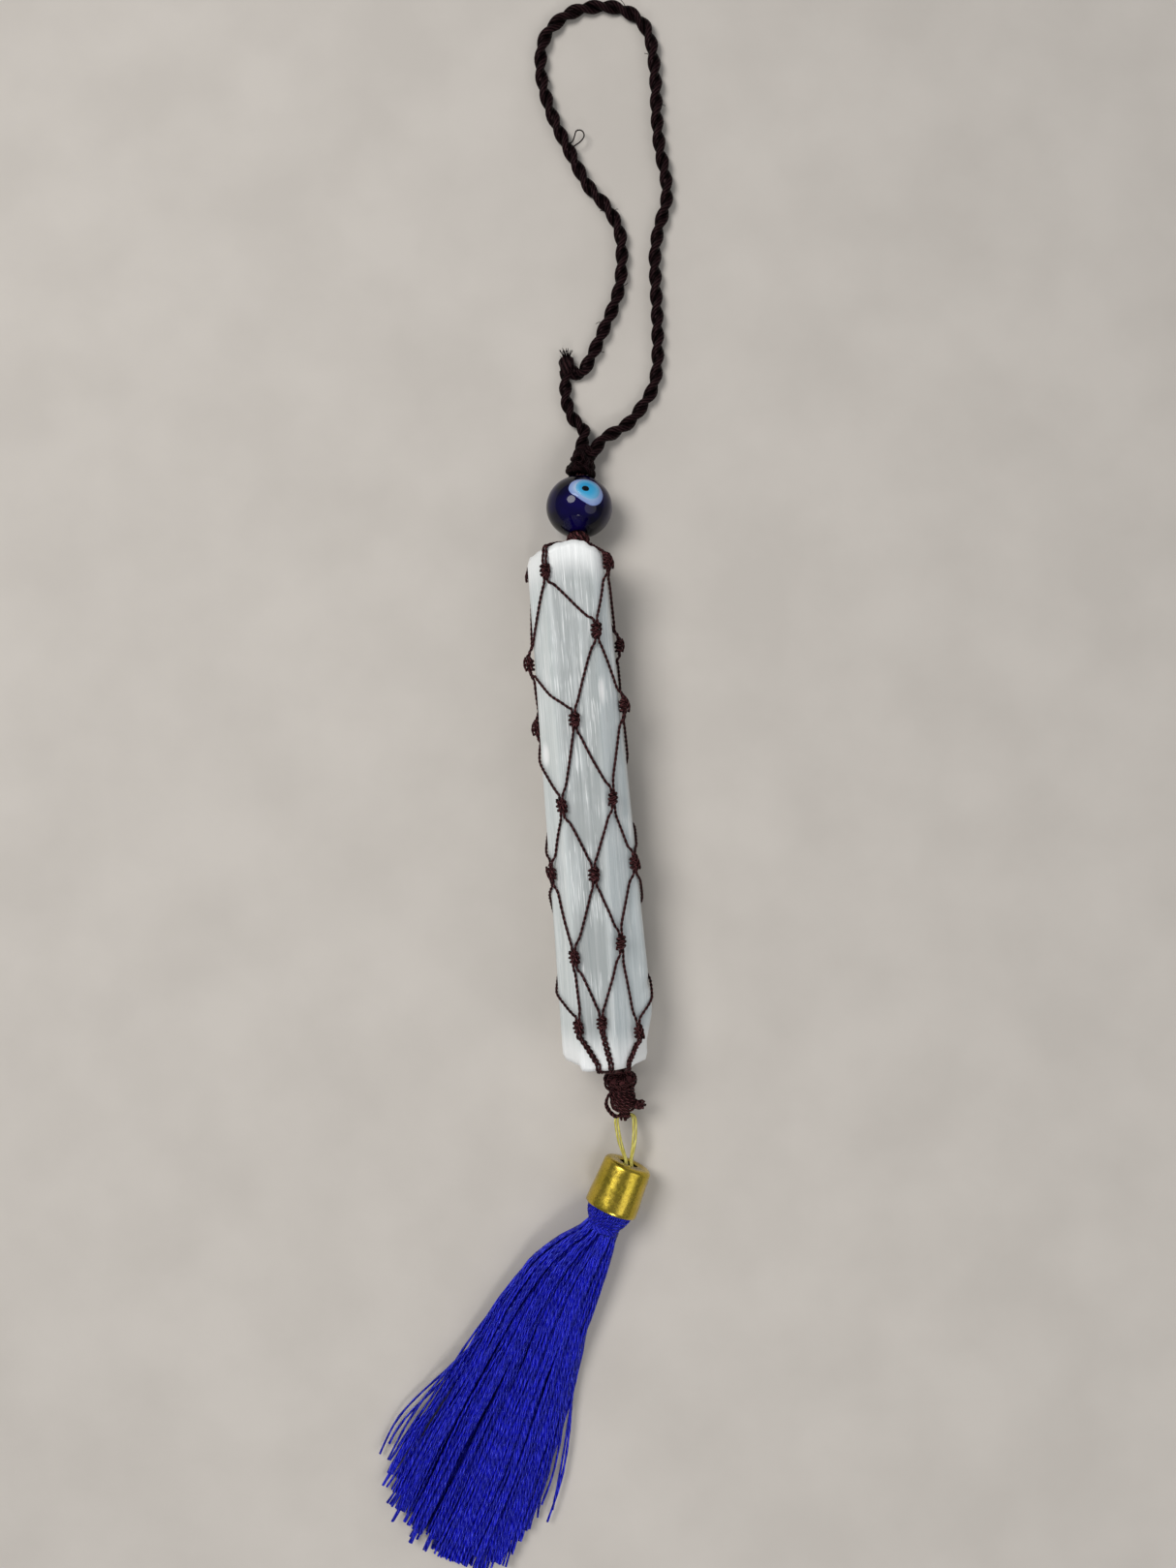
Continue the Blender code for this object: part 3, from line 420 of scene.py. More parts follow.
def pliedCordTree():
    # Sweeps a lobed section along every line of a curve, turning as it goes.
    tree = bpy.data.node_groups.new("pliedCord", "GeometryNodeTree")
    into, out = treeSockets(tree, [("Geometry", "Geometry"), ("Thickness", "Float"), ("Plies", "Float"),
                                   ("Groove", "Float"), ("Pitch", "Float"), ("Step", "Float"), ("Sides", "Int"),
                                   ("Seed", "Int"), ("Material", "Material")])
    line = put(tree, "GeometryNodeResampleCurve", {"Curve": into["Geometry"], "Length": into["Step"]},
               mode="LENGTH").outputs[0]
    length = put(tree, "GeometryNodeSplineParameter").outputs["Length"]
    line = put(tree, "GeometryNodeStoreNamedAttribute", {"Geometry": line, "Name": "along", "Value": length},
               domain="POINT", data_type="FLOAT").outputs[0]
    pick = put(tree, "FunctionNodeRandomValue", {"Seed": into["Seed"]}, data_type="FLOAT")
    line = put(tree, "GeometryNodeStoreNamedAttribute",
               {"Geometry": line, "Name": "thread", "Value": pick.outputs[1]}, domain="CURVE",
               data_type="FLOAT").outputs[0]
    turns = calc(tree, "DIVIDE", calc(tree, "MULTIPLY", length, 2 * math.pi), into["Pitch"])
    line = put(tree, "GeometryNodeSetCurveTilt", {"Curve": line, "Tilt": turns}).outputs[0]
    ring = put(tree, "GeometryNodeCurvePrimitiveCircle", {"Resolution": into["Sides"]}, mode="RADIUS").outputs[0]
    place = put(tree, "GeometryNodeInputPosition").outputs[0]
    ring = put(tree, "GeometryNodeStoreNamedAttribute", {"Geometry": ring, "Name": "around"}, domain="POINT",
               data_type="FLOAT_VECTOR")
    tree.links.new(place, ring.inputs[3])
    ring = ring.outputs[0]
    parts = put(tree, "ShaderNodeSeparateXYZ", {0: place}).outputs
    half = calc(tree, "MULTIPLY", calc(tree, "ARCTAN2", parts[1], parts[0]), calc(tree, "MULTIPLY", into["Plies"], 0.5))
    valley = calc(tree, "SUBTRACT", 1.0, calc(tree, "ABSOLUTE", calc(tree, "COSINE", half)))
    reach = calc(tree, "MULTIPLY", calc(tree, "MULTIPLY", into["Thickness"], 0.5),
                 calc(tree, "SUBTRACT", 1.0, calc(tree, "MULTIPLY", valley, into["Groove"])))
    ring = put(tree, "GeometryNodeStoreNamedAttribute", {"Geometry": ring, "Name": "valley", "Value": valley},
               domain="POINT", data_type="FLOAT").outputs[0]
    moved = put(tree, "ShaderNodeVectorMath", {0: place, "Scale": reach}, operation="SCALE").outputs[0]
    ring = put(tree, "GeometryNodeSetPosition", {"Geometry": ring, "Position": moved}).outputs[0]
    width = put(tree, "GeometryNodeInputRadius").outputs[0]
    swept = put(tree, "GeometryNodeCurveToMesh", {"Curve": line, "Profile Curve": ring, "Scale": width,
                                                  "Fill Caps": True}).outputs[0]
    finishTree(tree, into, out, swept)
    return tree


def scatterTree():
    # Places one shape at every point, turned as the point says and a little uneven in size.
    tree = bpy.data.node_groups.new("knotsOnPoints", "GeometryNodeTree")
    into, out = treeSockets(tree, [("Geometry", "Geometry"), ("Shape", "Object"), ("Smallest", "Float"),
                                   ("Largest", "Float"), ("Seed", "Int"), ("Material", "Material")])
    shape = put(tree, "GeometryNodeObjectInfo", {"Object": into["Shape"]}).outputs["Geometry"]
    turn = put(tree, "GeometryNodeInputNamedAttribute", {"Name": "turn"}, data_type="FLOAT_VECTOR").outputs[0]
    rotation = put(tree, "FunctionNodeEulerToRotation", {"Euler": turn}).outputs[0]
    size = put(tree, "FunctionNodeRandomValue", {2: into["Smallest"], 3: into["Largest"], "Seed": into["Seed"]},
               data_type="FLOAT").outputs[1]
    placed = put(tree, "GeometryNodeInstanceOnPoints", {"Points": into["Geometry"], "Instance": shape,
                                                        "Rotation": rotation, "Scale": size}).outputs[0]
    finishTree(tree, into, out, placed)
    return tree


pliedCord, knotsOnPoints = pliedCordTree(), scatterTree()


def runTree(holder, tree, values):
    modifier = holder.modifiers.new(tree.name, "NODES")
    modifier.node_group = tree
    sockets = {item.name: item.identifier for item in tree.interface.items_tree if item.in_out == "INPUT"}
    for label, value in values.items():
        modifier[sockets[label]] = value
    bpy.context.view_layer.update()
    made = bpy.data.meshes.new_from_object(holder.evaluated_get(bpy.context.evaluated_depsgraph_get()))
    holder.modifiers.remove(modifier)
    bpy.data.objects.remove(holder)
    return made


def faceOutwards(mesh):
    shape = bmesh.new()
    shape.from_mesh(mesh)
    bmesh.ops.remove_doubles(shape, verts=shape.verts, dist=1e-7)
    bmesh.ops.recalc_face_normals(shape, faces=shape.faces)
    shape.to_mesh(mesh)
    shape.free()


def newPiece(name, mesh, body, slot, material=None, stands=(), bend=None):
    mesh.name = name
    piece = bpy.data.objects.new(name, mesh)
    bpy.context.scene.collection.objects.link(piece)
    if material is not None:
        mesh.materials.clear()
        mesh.materials.append(material)
    if bend:
        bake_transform(piece)
    else:
        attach(piece, body)
    if stands:
        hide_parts(*stands)
    return piece


def sweptMesh(name, routes, look, material, widths=None):
    line = bpy.data.curves.new(name + "Line", "CURVE")
    line.dimensions = "3D"
    for number, route in enumerate(routes):
        spline = line.splines.new("POLY")
        spline.points.add(len(route) - 1)
        for index, (point, place) in enumerate(zip(spline.points, route)):
            point.co = (*place, 1)
            point.radius = widths[number][index] if widths else 1.0
    holder = bpy.data.objects.new(name + "Line", line)
    bpy.context.scene.collection.objects.link(holder)
    mesh = runTree(holder, pliedCord, {
        "Thickness": look["thickness"], "Plies": float(look.get("plies", 2)), "Groove": look.get("groove", 0.3),
        "Pitch": look["pitch"], "Step": look["step"], "Sides": look.get("sides", 10), "Seed": look.get("seed", 3),
        "Material": material})
    faceOutwards(mesh)
    return mesh


def smoothLine(route, spacing):
    # Evenly spaced points along a Catmull-Rom curve through the route.
    ends = [2 * route[0] - route[1]] + list(route) + [2 * route[-1] - route[-2]]
    fine = []
    for i in range(len(route) - 1):
        p0, p1, p2, p3 = ends[i:i + 4]
        for step in range(16):
            t = step / 16
            fine.append(0.5 * (2 * p1 + (p2 - p0) * t + (2 * p0 - 5 * p1 + 4 * p2 - p3) * t ** 2
                               + (3 * p1 - p0 - 3 * p2 + p3) * t ** 3))
    fine.append(route[-1].copy())
    total = lineLength(fine)
    count = max(2, round(total / spacing))
    even, walked, index = [fine[0].copy()], 0.0, 0
    for step in range(1, count):
        goal = total * step / count
        while walked + (fine[index + 1] - fine[index]).length < goal:
            walked += (fine[index + 1] - fine[index]).length
            index += 1
        gap = (fine[index + 1] - fine[index]).length
        even.append(fine[index].lerp(fine[index + 1], (goal - walked) / gap))
    return even + [fine[-1].copy()]


def lineLength(points):
    return sum((after - before).length for before, after in zip(points, points[1:]))


def latheMesh(name, profile, sides, closed, middle, axes, wobble=None):
    # Turns (distance from the axis, height) points about the third axis.
    shape = bmesh.new()
    rings = []
    for reach, height in profile:
        ring = []
        for i in range(sides):
            turn = 2 * math.pi * i / sides
            extra = wobble(turn, height) if wobble else 0.0
            place = Vector((math.cos(turn) * (reach + extra), math.sin(turn) * (reach + extra), height))
            ring.append(shape.verts.new(middle + axes @ place))
        rings.append(ring)
    pairs = list(zip(rings, rings[1:])) + ([(rings[-1], rings[0])] if closed else [])
    for lower, upper in pairs:
        for i in range(sides):
            j = (i + 1) % sides
            shape.faces.new((lower[i], lower[j], upper[j], upper[i]))
    if not closed:
        shape.faces.new(rings[0])
        shape.faces.new(list(reversed(rings[-1])))
    bmesh.ops.recalc_face_normals(shape, faces=shape.faces)
    for face in shape.faces:
        face.smooth = True
    mesh = bpy.data.meshes.new(name)
    shape.to_mesh(mesh)
    shape.free()
    return mesh


def roundedProfile(points, radius, steps=3):
    # Rounds the inner corners of an open profile.
    made = [points[0]]
    for before, here, after in zip(points, points[1:], points[2:]):
        a, b, c = Vector(before), Vector(here), Vector(after)
        reach = min(radius, (a - b).length * 0.45, (c - b).length * 0.45)
        start, stop = b + (a - b).normalized() * reach, b + (c - b).normalized() * reach
        for step in range(steps + 1):
            t = step / steps
            made.append(tuple(start * (1 - t) ** 2 + b * 2 * t * (1 - t) + stop * t ** 2))
    return made + [points[-1]]


# Selenite stick

stick = {
    "length": 97.1 * mm, "width": 16.0 * mm, "sharpness": 20,
    # Each facet: direction and reach at the bead end, then at the tassel end.
    "facets": [(2, 0.83, 2, 1.13), (42, 1.07, 52, 0.87), (94, 0.93, 94, 1.00), (145, 0.96, 148, 1.02),
               (188, 0.93, 188, 1.00), (228, 0.98, 228, 1.04), (270, 0.91, 270, 0.96), (318, 0.95, 318, 1.05)],
    "ridgeSharpness": 30, "sides": 150, "stations": 190, "slope": 0.10, "chamfer": 0.8 * mm,
    # How far each end falls back from its furthest place: (place across, drop) in mm
    "topDrops": [(-8.6, 3.4), (-6.8, 1.9), (-5.2, 1.35), (-3.8, 0.95), (-1.5, 0.3), (1.0, 0.0), (2.8, 0.35),
                 (4.4, 1.5), (6.2, 2.5), (8.0, 3.6)],
    "footDrops": [(-8.4, 3.2), (-7.4, 2.6), (-5.3, 2.2), (-4.8, 1.2), (4.2, 1.0), (5.0, 1.4), (6.9, 1.5),
                  (7.6, 2.2), (8.8, 3.0)],
    "furrow": 0.045 * mm, "bow": 0.10 * mm,
    # Chips: direction, place along the stick from its middle, half width in degrees, half length, depth
    "chips": [(152, 10.5, 10, 2.6, 0.16), (4, -35.5, 22, 1.6, 0.3), (-4, -48.4, 38, 6.4, 1.7),
              (60, 22.0, 5, 3.0, 0.15), (34, -20.0, 6, 4.0, 0.2), (150, -25.0, 8, 3.0, 0.2)],
}
stickMiddleY = stickLow.y + stick["length"] / 2


def facetTerms(angle, y):
    share = 0.5 - y / stick["length"]
    terms = []
    for topTurn, topReach, footTurn, footReach in stick["facets"]:
        normal = math.radians(topTurn + (footTurn - topTurn) * share)
        reach = (topReach + (footReach - topReach) * share) * stick["width"] / 2
        terms.append(max(0.0, math.cos(angle - normal) / reach))
    return terms


def stickReach(angle, y, sharpness=stick["sharpness"]):
    return sum(term ** sharpness for term in facetTerms(angle, y)) ** (-1 / sharpness)


def skinAt(angle, y):
    turn = 0.01
    here = Vector((math.cos(angle), math.sin(angle))) * stickReach(angle, y)
    ahead = Vector((math.cos(angle + turn), math.sin(angle + turn))) * stickReach(angle + turn, y)
    behind = Vector((math.cos(angle - turn), math.sin(angle - turn))) * stickReach(angle - turn, y)
    sideways = (ahead - behind).normalized()
    return here, Vector((sideways.y, -sideways.x)), sideways


lowestSkin = min(stickReach(math.radians(a), y * mm) * math.sin(math.radians(a))
                 for a in range(225, 316, 3) for y in (-47, 0, 47))
stickMiddle = Vector((stickX, stickMiddleY, stickLow.z - lowestSkin))


def smoothStep(value):
    value = min(1.0, max(0.0, value))
    return value * value * (3 - 2 * value)


def between(table, key, column, soft=False):
    for low, high in zip(table, table[1:]):
        if key <= high[0]:
            share = max(0.0, (key - low[0]) / (high[0] - low[0]))
            share = smoothStep(share) if soft else share
            return low[column] + (high[column] - low[column]) * share
    return table[-1][column]


def endShape(x, z, end):
    # How far an end's face stands from the stick's middle at a place across it.
    rough = noise.fractal(Vector((x * 700, z * 700, end * 7.0)), 0.9, 2.1, 3) * 0.10 * mm
    drops = stick["topDrops"] if end > 0 else stick["footDrops"]
    return stick["length"] / 2 + 0.15 * mm - between(drops, x / mm, 1, True) * mm + rough


def buildStick():
    sides, stations = stick["sides"], stick["stations"]
    shape = bmesh.new()
    facet = shape.loops.layers.float_color.new("facet")
    chip = shape.verts.layers.float.new("chip")
    rings, facetShadeWeights = [], {}

    def ringAt(share, inset, endIn):
        ring = []
        for side in range(sides):
            angle = 2 * math.pi * side / sides
            y = stick["length"] * (0.5 - share)
            reach = stickReach(angle, y, stick["ridgeSharpness"])
            grain = noise.noise(Vector((math.cos(angle) * 26, math.sin(angle) * 26, y * 22)))
            fine = noise.noise(Vector((math.cos(angle) * 70, math.sin(angle) * 70, y * 60 + 9)))
            bow = noise.noise(Vector((math.cos(angle) * 1.5, math.sin(angle) * 1.5, y * 30 + 4)))
            reach += stick["furrow"] * (grain + 0.6 * fine) + stick["bow"] * bow
            white = 0.0
            for turn, along, halfTurn, halfLength, depth in stick["chips"]:
                off = abs((math.degrees(angle) - turn + 180) % 360 - 180) / halfTurn
                far = abs(y / mm - along) / halfLength
                inside = smoothStep(1.25 - math.hypot(off, far))
                reach -= depth * mm * inside
                white = max(white, inside if depth < 0.17 else 0.0)
            white = max(white, 0.75 * smoothStep((abs(y) / mm - 41.5) / 6.0))
            reach *= inset
            x, z = reach * math.cos(angle), reach * math.sin(angle)
            top = endShape(x, z, 1) - (stick["chamfer"] if not endIn else 0.0)
            foot = -endShape(x, z, -1) + (stick["chamfer"] if not endIn else 0.0)
            place = Vector((x, top + (foot - top) * share, z))
            vertex = shape.verts.new(stickMiddle + place)
            vertex[chip] = white
            # how much each facet shapes this point, for the painted light and shade of each facet in the stone's
            # material
            terms = facetTerms(angle, y)
            weights = [term ** 30 for term in terms]
            total = sum(weights)
            facetShadeWeights[vertex] = (weights[2] / total, (weights[3] + weights[4]) / total, (weights[0] + weights[1]) / total)
            ring.append(vertex)
        return ring

    edge = 1 - 2 * stick["chamfer"] / stick["width"]
    endInsets = [0.0001, 0.2, 0.4, 0.6, 0.75, 0.86, edge, edge + (1 - edge) * 0.45]
    for inset in endInsets:
        rings.append(ringAt(0.0, inset, True))
    for station in range(stations + 1):
        rings.append(ringAt(station / stations, 1.0, False))
    for inset in reversed(endInsets):
        rings.append(ringAt(1.0, inset, True))
    for upper, lower in zip(rings, rings[1:]):
        for i in range(sides):
            j = (i + 1) % sides
            shape.faces.new((upper[i], upper[j], lower[j], lower[i]))
    for face in shape.faces:
        face.smooth = True
        for loop in face.loops:
            loop[facet] = (*facetShadeWeights[loop.vert], 1)
    bmesh.ops.remove_doubles(shape, verts=rings[0] + rings[-1], dist=0.01 * mm)
    bmesh.ops.recalc_face_normals(shape, faces=shape.faces)
    mesh = bpy.data.meshes.new("seleniteStick")
    shape.to_mesh(mesh)
    shape.free()
    return newPiece("seleniteStick", mesh, "stick", "selenite", stone, ["selenite_stick"])


# Net of waxed cord

net = {
    "thickness": 0.6 * mm, "plies": 2, "groove": 0.5, "pitch": 2.0 * mm, "step": 0.25 * mm, "sides": 8,
    "cord": 0.5 * mm, "gap": 0.15 * mm, "knotLength": 2.8 * mm, "knotWall": 0.32 * mm, "flatness": 0.72, "knotRun": 0.35 * mm,
    "firstRow": 4.65 * mm, "lastRow": 8.45 * mm,
    # Each row's four knots: direction around the stick, and how far past the even row in mm
    "rows": [[(42, 0.4), (120, -0.5), (214, 0.6), (296, -0.3)], [(64, 2.1), (168, -2.7), (262, 0.5), (340, -0.2)],
             [(29, 2.3), (99, 0.2), (198, -0.5), (288, 0.8)], [(60, -0.5), (121, -1.2), (241, 0.4), (306, -0.6)],
             [(29, 1.5), (89, 0.1), (149, 0.7), (270, -0.8)], [(63, 1.4), (120, -0.6), (236, 0.3), (300, 0.9)],
             [(41, -1.3), (94, 1.3), (121, 0.7), (270, 0.2)]],
    "topRim": [42, 120, 214, 296], "footRim": [60, 87, 103, 270], "topRing": 1.0 * mm,
    "footEnds": [(1.75, 0.6), (1.05, 0.9), (0.35, 1.0), (-0.35, 1.0), (-1.05, 0.9), (-1.75, 0.6), (-0.35, -1.0),
                 (0.35, -1.0)],
}
knot = {"cord": 0.52 * mm, "turns": 3.6, "lean": 0.30, "smallest": 1.04, "largest": 1.18, "seed": 11}
strandLift = net["gap"] + net["cord"] / 2
strandSide = (net["cord"] + net["gap"]) / 2
knotRadius = strandSide + net["cord"] / 2 + net["gap"] + net["knotWall"]
knotLift = knotRadius * net["flatness"] + net["gap"]


def knotPlace(row, column):
    angle, past = net["rows"][row][column]
    pitch = (stick["length"] - net["firstRow"] - net["lastRow"]) / (len(net["rows"]) - 1)
    return math.radians(angle), stick["length"] / 2 - net["firstRow"] - pitch * row + past * mm


def netPoint(angle, y, side, lift):
    here, outward, sideways = skinAt(angle, y)
    flat = here + outward * lift + sideways * side
    return Vector((flat.x, y, flat.y))


def crownLine(rimTurn, side, meet, end):
    # From the stick's side over its shaped end to where the cords meet.
    turn = math.radians(rimTurn)
    skin = skinAt(turn, end * stick["length"] / 2)[0]
    faceY = endShape(skin.x * 0.9, skin.y * 0.9, end)
    edge = netPoint(turn, end * (faceY - stick["chamfer"] - 0.4 * mm), side, strandLift)
    rim = netPoint(turn, end * (faceY - 0.1 * mm), side * 0.8, strandLift * 0.5)
    line = [edge, rim]
    for share in (0.1, 0.25, 0.42, 0.6, 0.8):
        place = rim.lerp(meet, share)
        resting = endShape(place.x, place.z, end) + strandLift
        place.y = end * max(resting, end * place.y)
        line.append(place)
    return line + [meet]


def pairRun(start, stop, side, turns):
    # The two cords of a pair wind round each other between a knot and the stick's rim.
    points = []
    count = max(3, int(turns * 10))
    for step in range(1, count):
        share = step / count
        phase = 2 * math.pi * turns * share
        lean = 0.30 * mm * math.sin(phase) * (1 if side > 0 else -1)
        points.append(netPoint(start[0] + (stop[0] - start[0]) * share, start[1] + (stop[1] - start[1]) * share,
                               side * 1.15 * math.cos(phase), strandLift + 0.14 * mm + lean))
    return points


def strandRoute(strand, topMeet, footMeet):
    # Zigzags between a column of knots of its own pair and one shared with the next pair.
    pair, odd = strand // 2, strand % 2
    stops = []
    for row in range(len(net["rows"])):
        column = pair if row % 2 == 0 or odd else (pair - 1) % 4
        side = (1 if odd else -1) if row % 2 == 0 else (-1 if odd else 1)
        angle, y = knotPlace(row, column)
        if stops:
            angle += 2 * math.pi * round((stops[-1][0] - angle) / (2 * math.pi))
        stops.append((angle, y, side * strandSide))
    half = net["knotLength"] / 2 + net["knotRun"]
    points = list(reversed(crownLine(net["topRim"][pair], stops[0][2], topMeet, 1)))
    for i, (angle, y, side) in enumerate(stops):
        points.append(netPoint(angle, y + half, side, knotLift))
        points.append(netPoint(angle, y - half, side, knotLift))
        if i + 1 < len(stops):
            nextAngle, nextY, nextSide = stops[i + 1]
            top, bottom = y - half, nextY + half
            count = max(4, math.ceil(abs(nextAngle - angle) * stick["width"] / 2 / (1.2 * mm)))
            for step in range(count):
                share = (step + 0.7) / (count + 0.4)
                points.append(netPoint(angle + (nextAngle - angle) * share, top + (bottom - top) * share,
                                       side + (nextSide - side) * share, strandLift))
    foot = crownLine(net["footRim"][pair], stops[-1][2], footMeet, -1)
    lastAngle, lastY, lastSide = stops[-1]
    points += pairRun((lastAngle, lastY - half), (math.radians(net["footRim"][pair]), foot[0].y), lastSide, 3)
    return points + foot


def buildNet():
    topGather, footGather = neckStart - stickMiddle, wrapStart - stickMiddle
    routes = []
    for strand in range(8):
        turn = math.radians(22.5 + 45 * strand)
        topMeet = topGather + Vector((math.cos(turn), 0, math.sin(turn))) * net["topRing"]
        footMeet = footGather + Vector((net["footEnds"][strand][0] * mm, 0, net["footEnds"][strand][1] * mm))
        line = smoothLine(strandRoute(strand, topMeet, footMeet), 0.3 * mm)
        routes.append([stickMiddle + place for place in line])
    mesh = sweptMesh("netCords", routes, net, waxedCord)
    newPiece("netCords", mesh, "stick", "net_cord", None, [f"net_strand_{i + 1}" for i in range(8)])
    buildKnots()


def knotShape():
    # One knot lying along Z: slanted turns round the two cords, thickest in the middle.
    turns, points = knot["turns"], []
    count = int(turns * 14)
    half = net["knotLength"] / 2 - knot["cord"] * 0.35
    for i in range(count + 1):
        share = i / count
        turn = 2 * math.pi * turns * share
        swell = 0.80 + 0.20 * math.sin(math.pi * share)
        tuck = 0.45 + 0.55 * min(1.0, 6 * min(share, 1 - share))
        reach = (knotRadius - knot["cord"] / 2) * swell * tuck
        points.append(Vector((reach * math.cos(turn), reach * net["flatness"] * math.sin(turn),
                              half * (1 - 2 * share) + knot["lean"] * mm * math.sin(turn + 0.6))))
    bar = [Vector((0.45 * mm, 0.62 * mm, 0.95 * half)), Vector((0.1 * mm, 0.86 * mm, 0.35 * half)),
           Vector((-0.25 * mm, 0.86 * mm, -0.3 * half)), Vector((-0.5 * mm, 0.60 * mm, -0.9 * half))]
    core = [Vector((0, 0, half * share)) for share in (1.0, 0.6, 0.2, -0.2, -0.6, -1.0)]
    lines = [smoothLine(points, 0.25 * mm), smoothLine(bar, 0.25 * mm), core]
    widths = [[1.0] * len(lines[0]), [0.9] * len(lines[1]), [1.0, 2.0, 2.3, 2.3, 2.0, 1.0]]
    mesh = sweptMesh("knotShape", lines, {"thickness": knot["cord"], "pitch": 1.7 * mm, "step": 0.25 * mm,
                                          "sides": 8, "groove": 0.3}, waxedCord, widths)
    shape = bpy.data.objects.new("knotShape", mesh)
    bpy.context.scene.collection.objects.link(shape)
    return shape


def buildKnots():
    places, turns = [], []
    for row in range(len(net["rows"])):
        for column in range(4):
            angle, y = knotPlace(row, column)
            here, outward, sideways = skinAt(angle, y)
            middle = here + outward * knotLift
            axes = Matrix(((sideways.x, outward.x, 0), (0, 0, 1), (sideways.y, outward.y, 0)))
            if axes.determinant() < 0:
                axes = axes @ Matrix.Diagonal((-1, 1, 1))
            if (row + column) % 2:
                axes = axes @ Matrix.Rotation(math.pi, 3, "Z") @ Matrix.Rotation(math.pi, 3, "X")
                axes = axes @ Matrix.Rotation(math.pi, 3, "Z")
            places.append(stickMiddle + Vector((middle.x, y, middle.y)))
            turns.append(axes.to_euler())
    mesh = bpy.data.meshes.new("knotPoints")
    mesh.from_pydata(places, [], [])
    layer = mesh.attributes.new("turn", "FLOAT_VECTOR", "POINT")
    for item, turn in zip(layer.data, turns):
        item.vector = turn
    holder = bpy.data.objects.new("knotPoints", mesh)
    bpy.context.scene.collection.objects.link(holder)
    shape = knotShape()
    made = runTree(holder, knotsOnPoints, {"Shape": shape, "Smallest": knot["smallest"],
                                           "Largest": knot["largest"], "Seed": knot["seed"], "Material": waxedCord})
    bpy.data.objects.remove(shape)
    newPiece("netKnots", made, "stick", "net_cord", None,
             [f"net_knot_{row + 1}_{column + 1}" for row in range(7) for column in range(4)])


# Neck cords, bead and eyes

neck = {"thickness": 0.55 * mm, "plies": 2, "groove": 0.3, "pitch": 1.9 * mm, "step": 0.25 * mm, "sides": 8}
collar = {"thickness": 0.85 * mm, "radius": 1.45 * mm, "turns": 2.6, "start": -0.55 * mm, "rise": 1.35 * mm}
topKnot = {"thickness": 1.5 * mm, "plies": 2, "groove": 0.34, "pitch": 4.2 * mm, "step": 0.3 * mm, "sides": 14}
beadShape = {"across": 12.4 * mm, "along": 11.6 * mm, "bore": 2.8 * mm, "sides": 72, "arc": 44}
eyeShape = {
    # Outlines as (sideways, upwards) from the pupil, in mm
    "white": [(0.1, 2.5), (1.5, 2.35), (2.6, 1.7), (3.4, 0.5), (3.55, -0.8), (2.9, -2.2), (1.5, -2.9), (-0.2, -2.5),
              (-1.6, -1.7), (-2.7, -0.9), (-3.1, 0.2), (-2.6, 1.5), (-1.4, 2.3)],
    "iris": [(0.0, 2.2), (1.4, 2.05), (2.5, 1.3), (2.85, 0.1), (2.4, -1.2), (1.3, -1.9), (0.1, -1.75),
             (-1.1, -1.15), (-1.75, -0.2), (-1.7, 0.9), (-1.0, 1.8)],
    "pupil": [(0.0, 0.58), (0.45, 0.45), (0.7, 0.05), (0.5, -0.42), (0.0, -0.55), (-0.48, -0.42), (-0.7, 0.0),
              (-0.46, 0.44)],
    "proud": {"white": 0.04 * mm, "iris": 0.09 * mm, "pupil": 0.14 * mm},
}


def buildNeck():
    axes = axesAlong(neckStart, joints["loop_swing"])
    low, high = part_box("neck_cords")
    start, stop = -0.2 * mm, (joints["loop_swing"] - neckStart).length - 2.0 * mm
    routes = []
    for i in range(8):
        turn = 2 * math.pi * i / 8
        reach = 0.72 * mm if i % 2 else 0.42 * mm
        points = []
        for step in range(9):
            share = step / 8
            twist = turn + share * 1.6
            points.append(neckStart + axes @ Vector((reach * math.cos(twist), reach * math.sin(twist),
                                                     start + (stop - start) * share)))
        routes.append(smoothLine(points, 0.4 * mm))
    mesh = sweptMesh("neckCords", routes, neck, waxedCord)
    newPiece("neckCords", mesh, "neck", "net_cord", None, ["neck_cords"])

    lines = []
    for lean, flip in ((0.0, 1), (0.9, -1)):
        points = []
        count = int(collar["turns"] * 16)
        for i in range(count + 1):
            share = i / count
            turn = flip * 2 * math.pi * collar["turns"] * share + lean
            reach = collar["radius"] * (0.86 + 0.14 * math.sin(math.pi * share))
            height = collar["start"] + collar["rise"] * share + 0.15 * mm * math.sin(turn + lean * 2)
            points.append(neckStart + axes @ Vector((reach * 1.25 * math.cos(turn), reach * math.sin(turn), height)))
        lines.append(smoothLine(points, 0.3 * mm))
    mesh = sweptMesh("neckCollar", lines, {**neck, "thickness": collar["thickness"], "pitch": 2.4 * mm}, waxedCord)
    low, high = (tuple(neckStart + axes @ Vector((0, 0, height * mm))) for height in (-0.5, 1.3))
    newPiece("neckCollar", mesh, "neck", "net_cord", bend=("stick", "neck", low, high))
    buildTopKnot(axes)


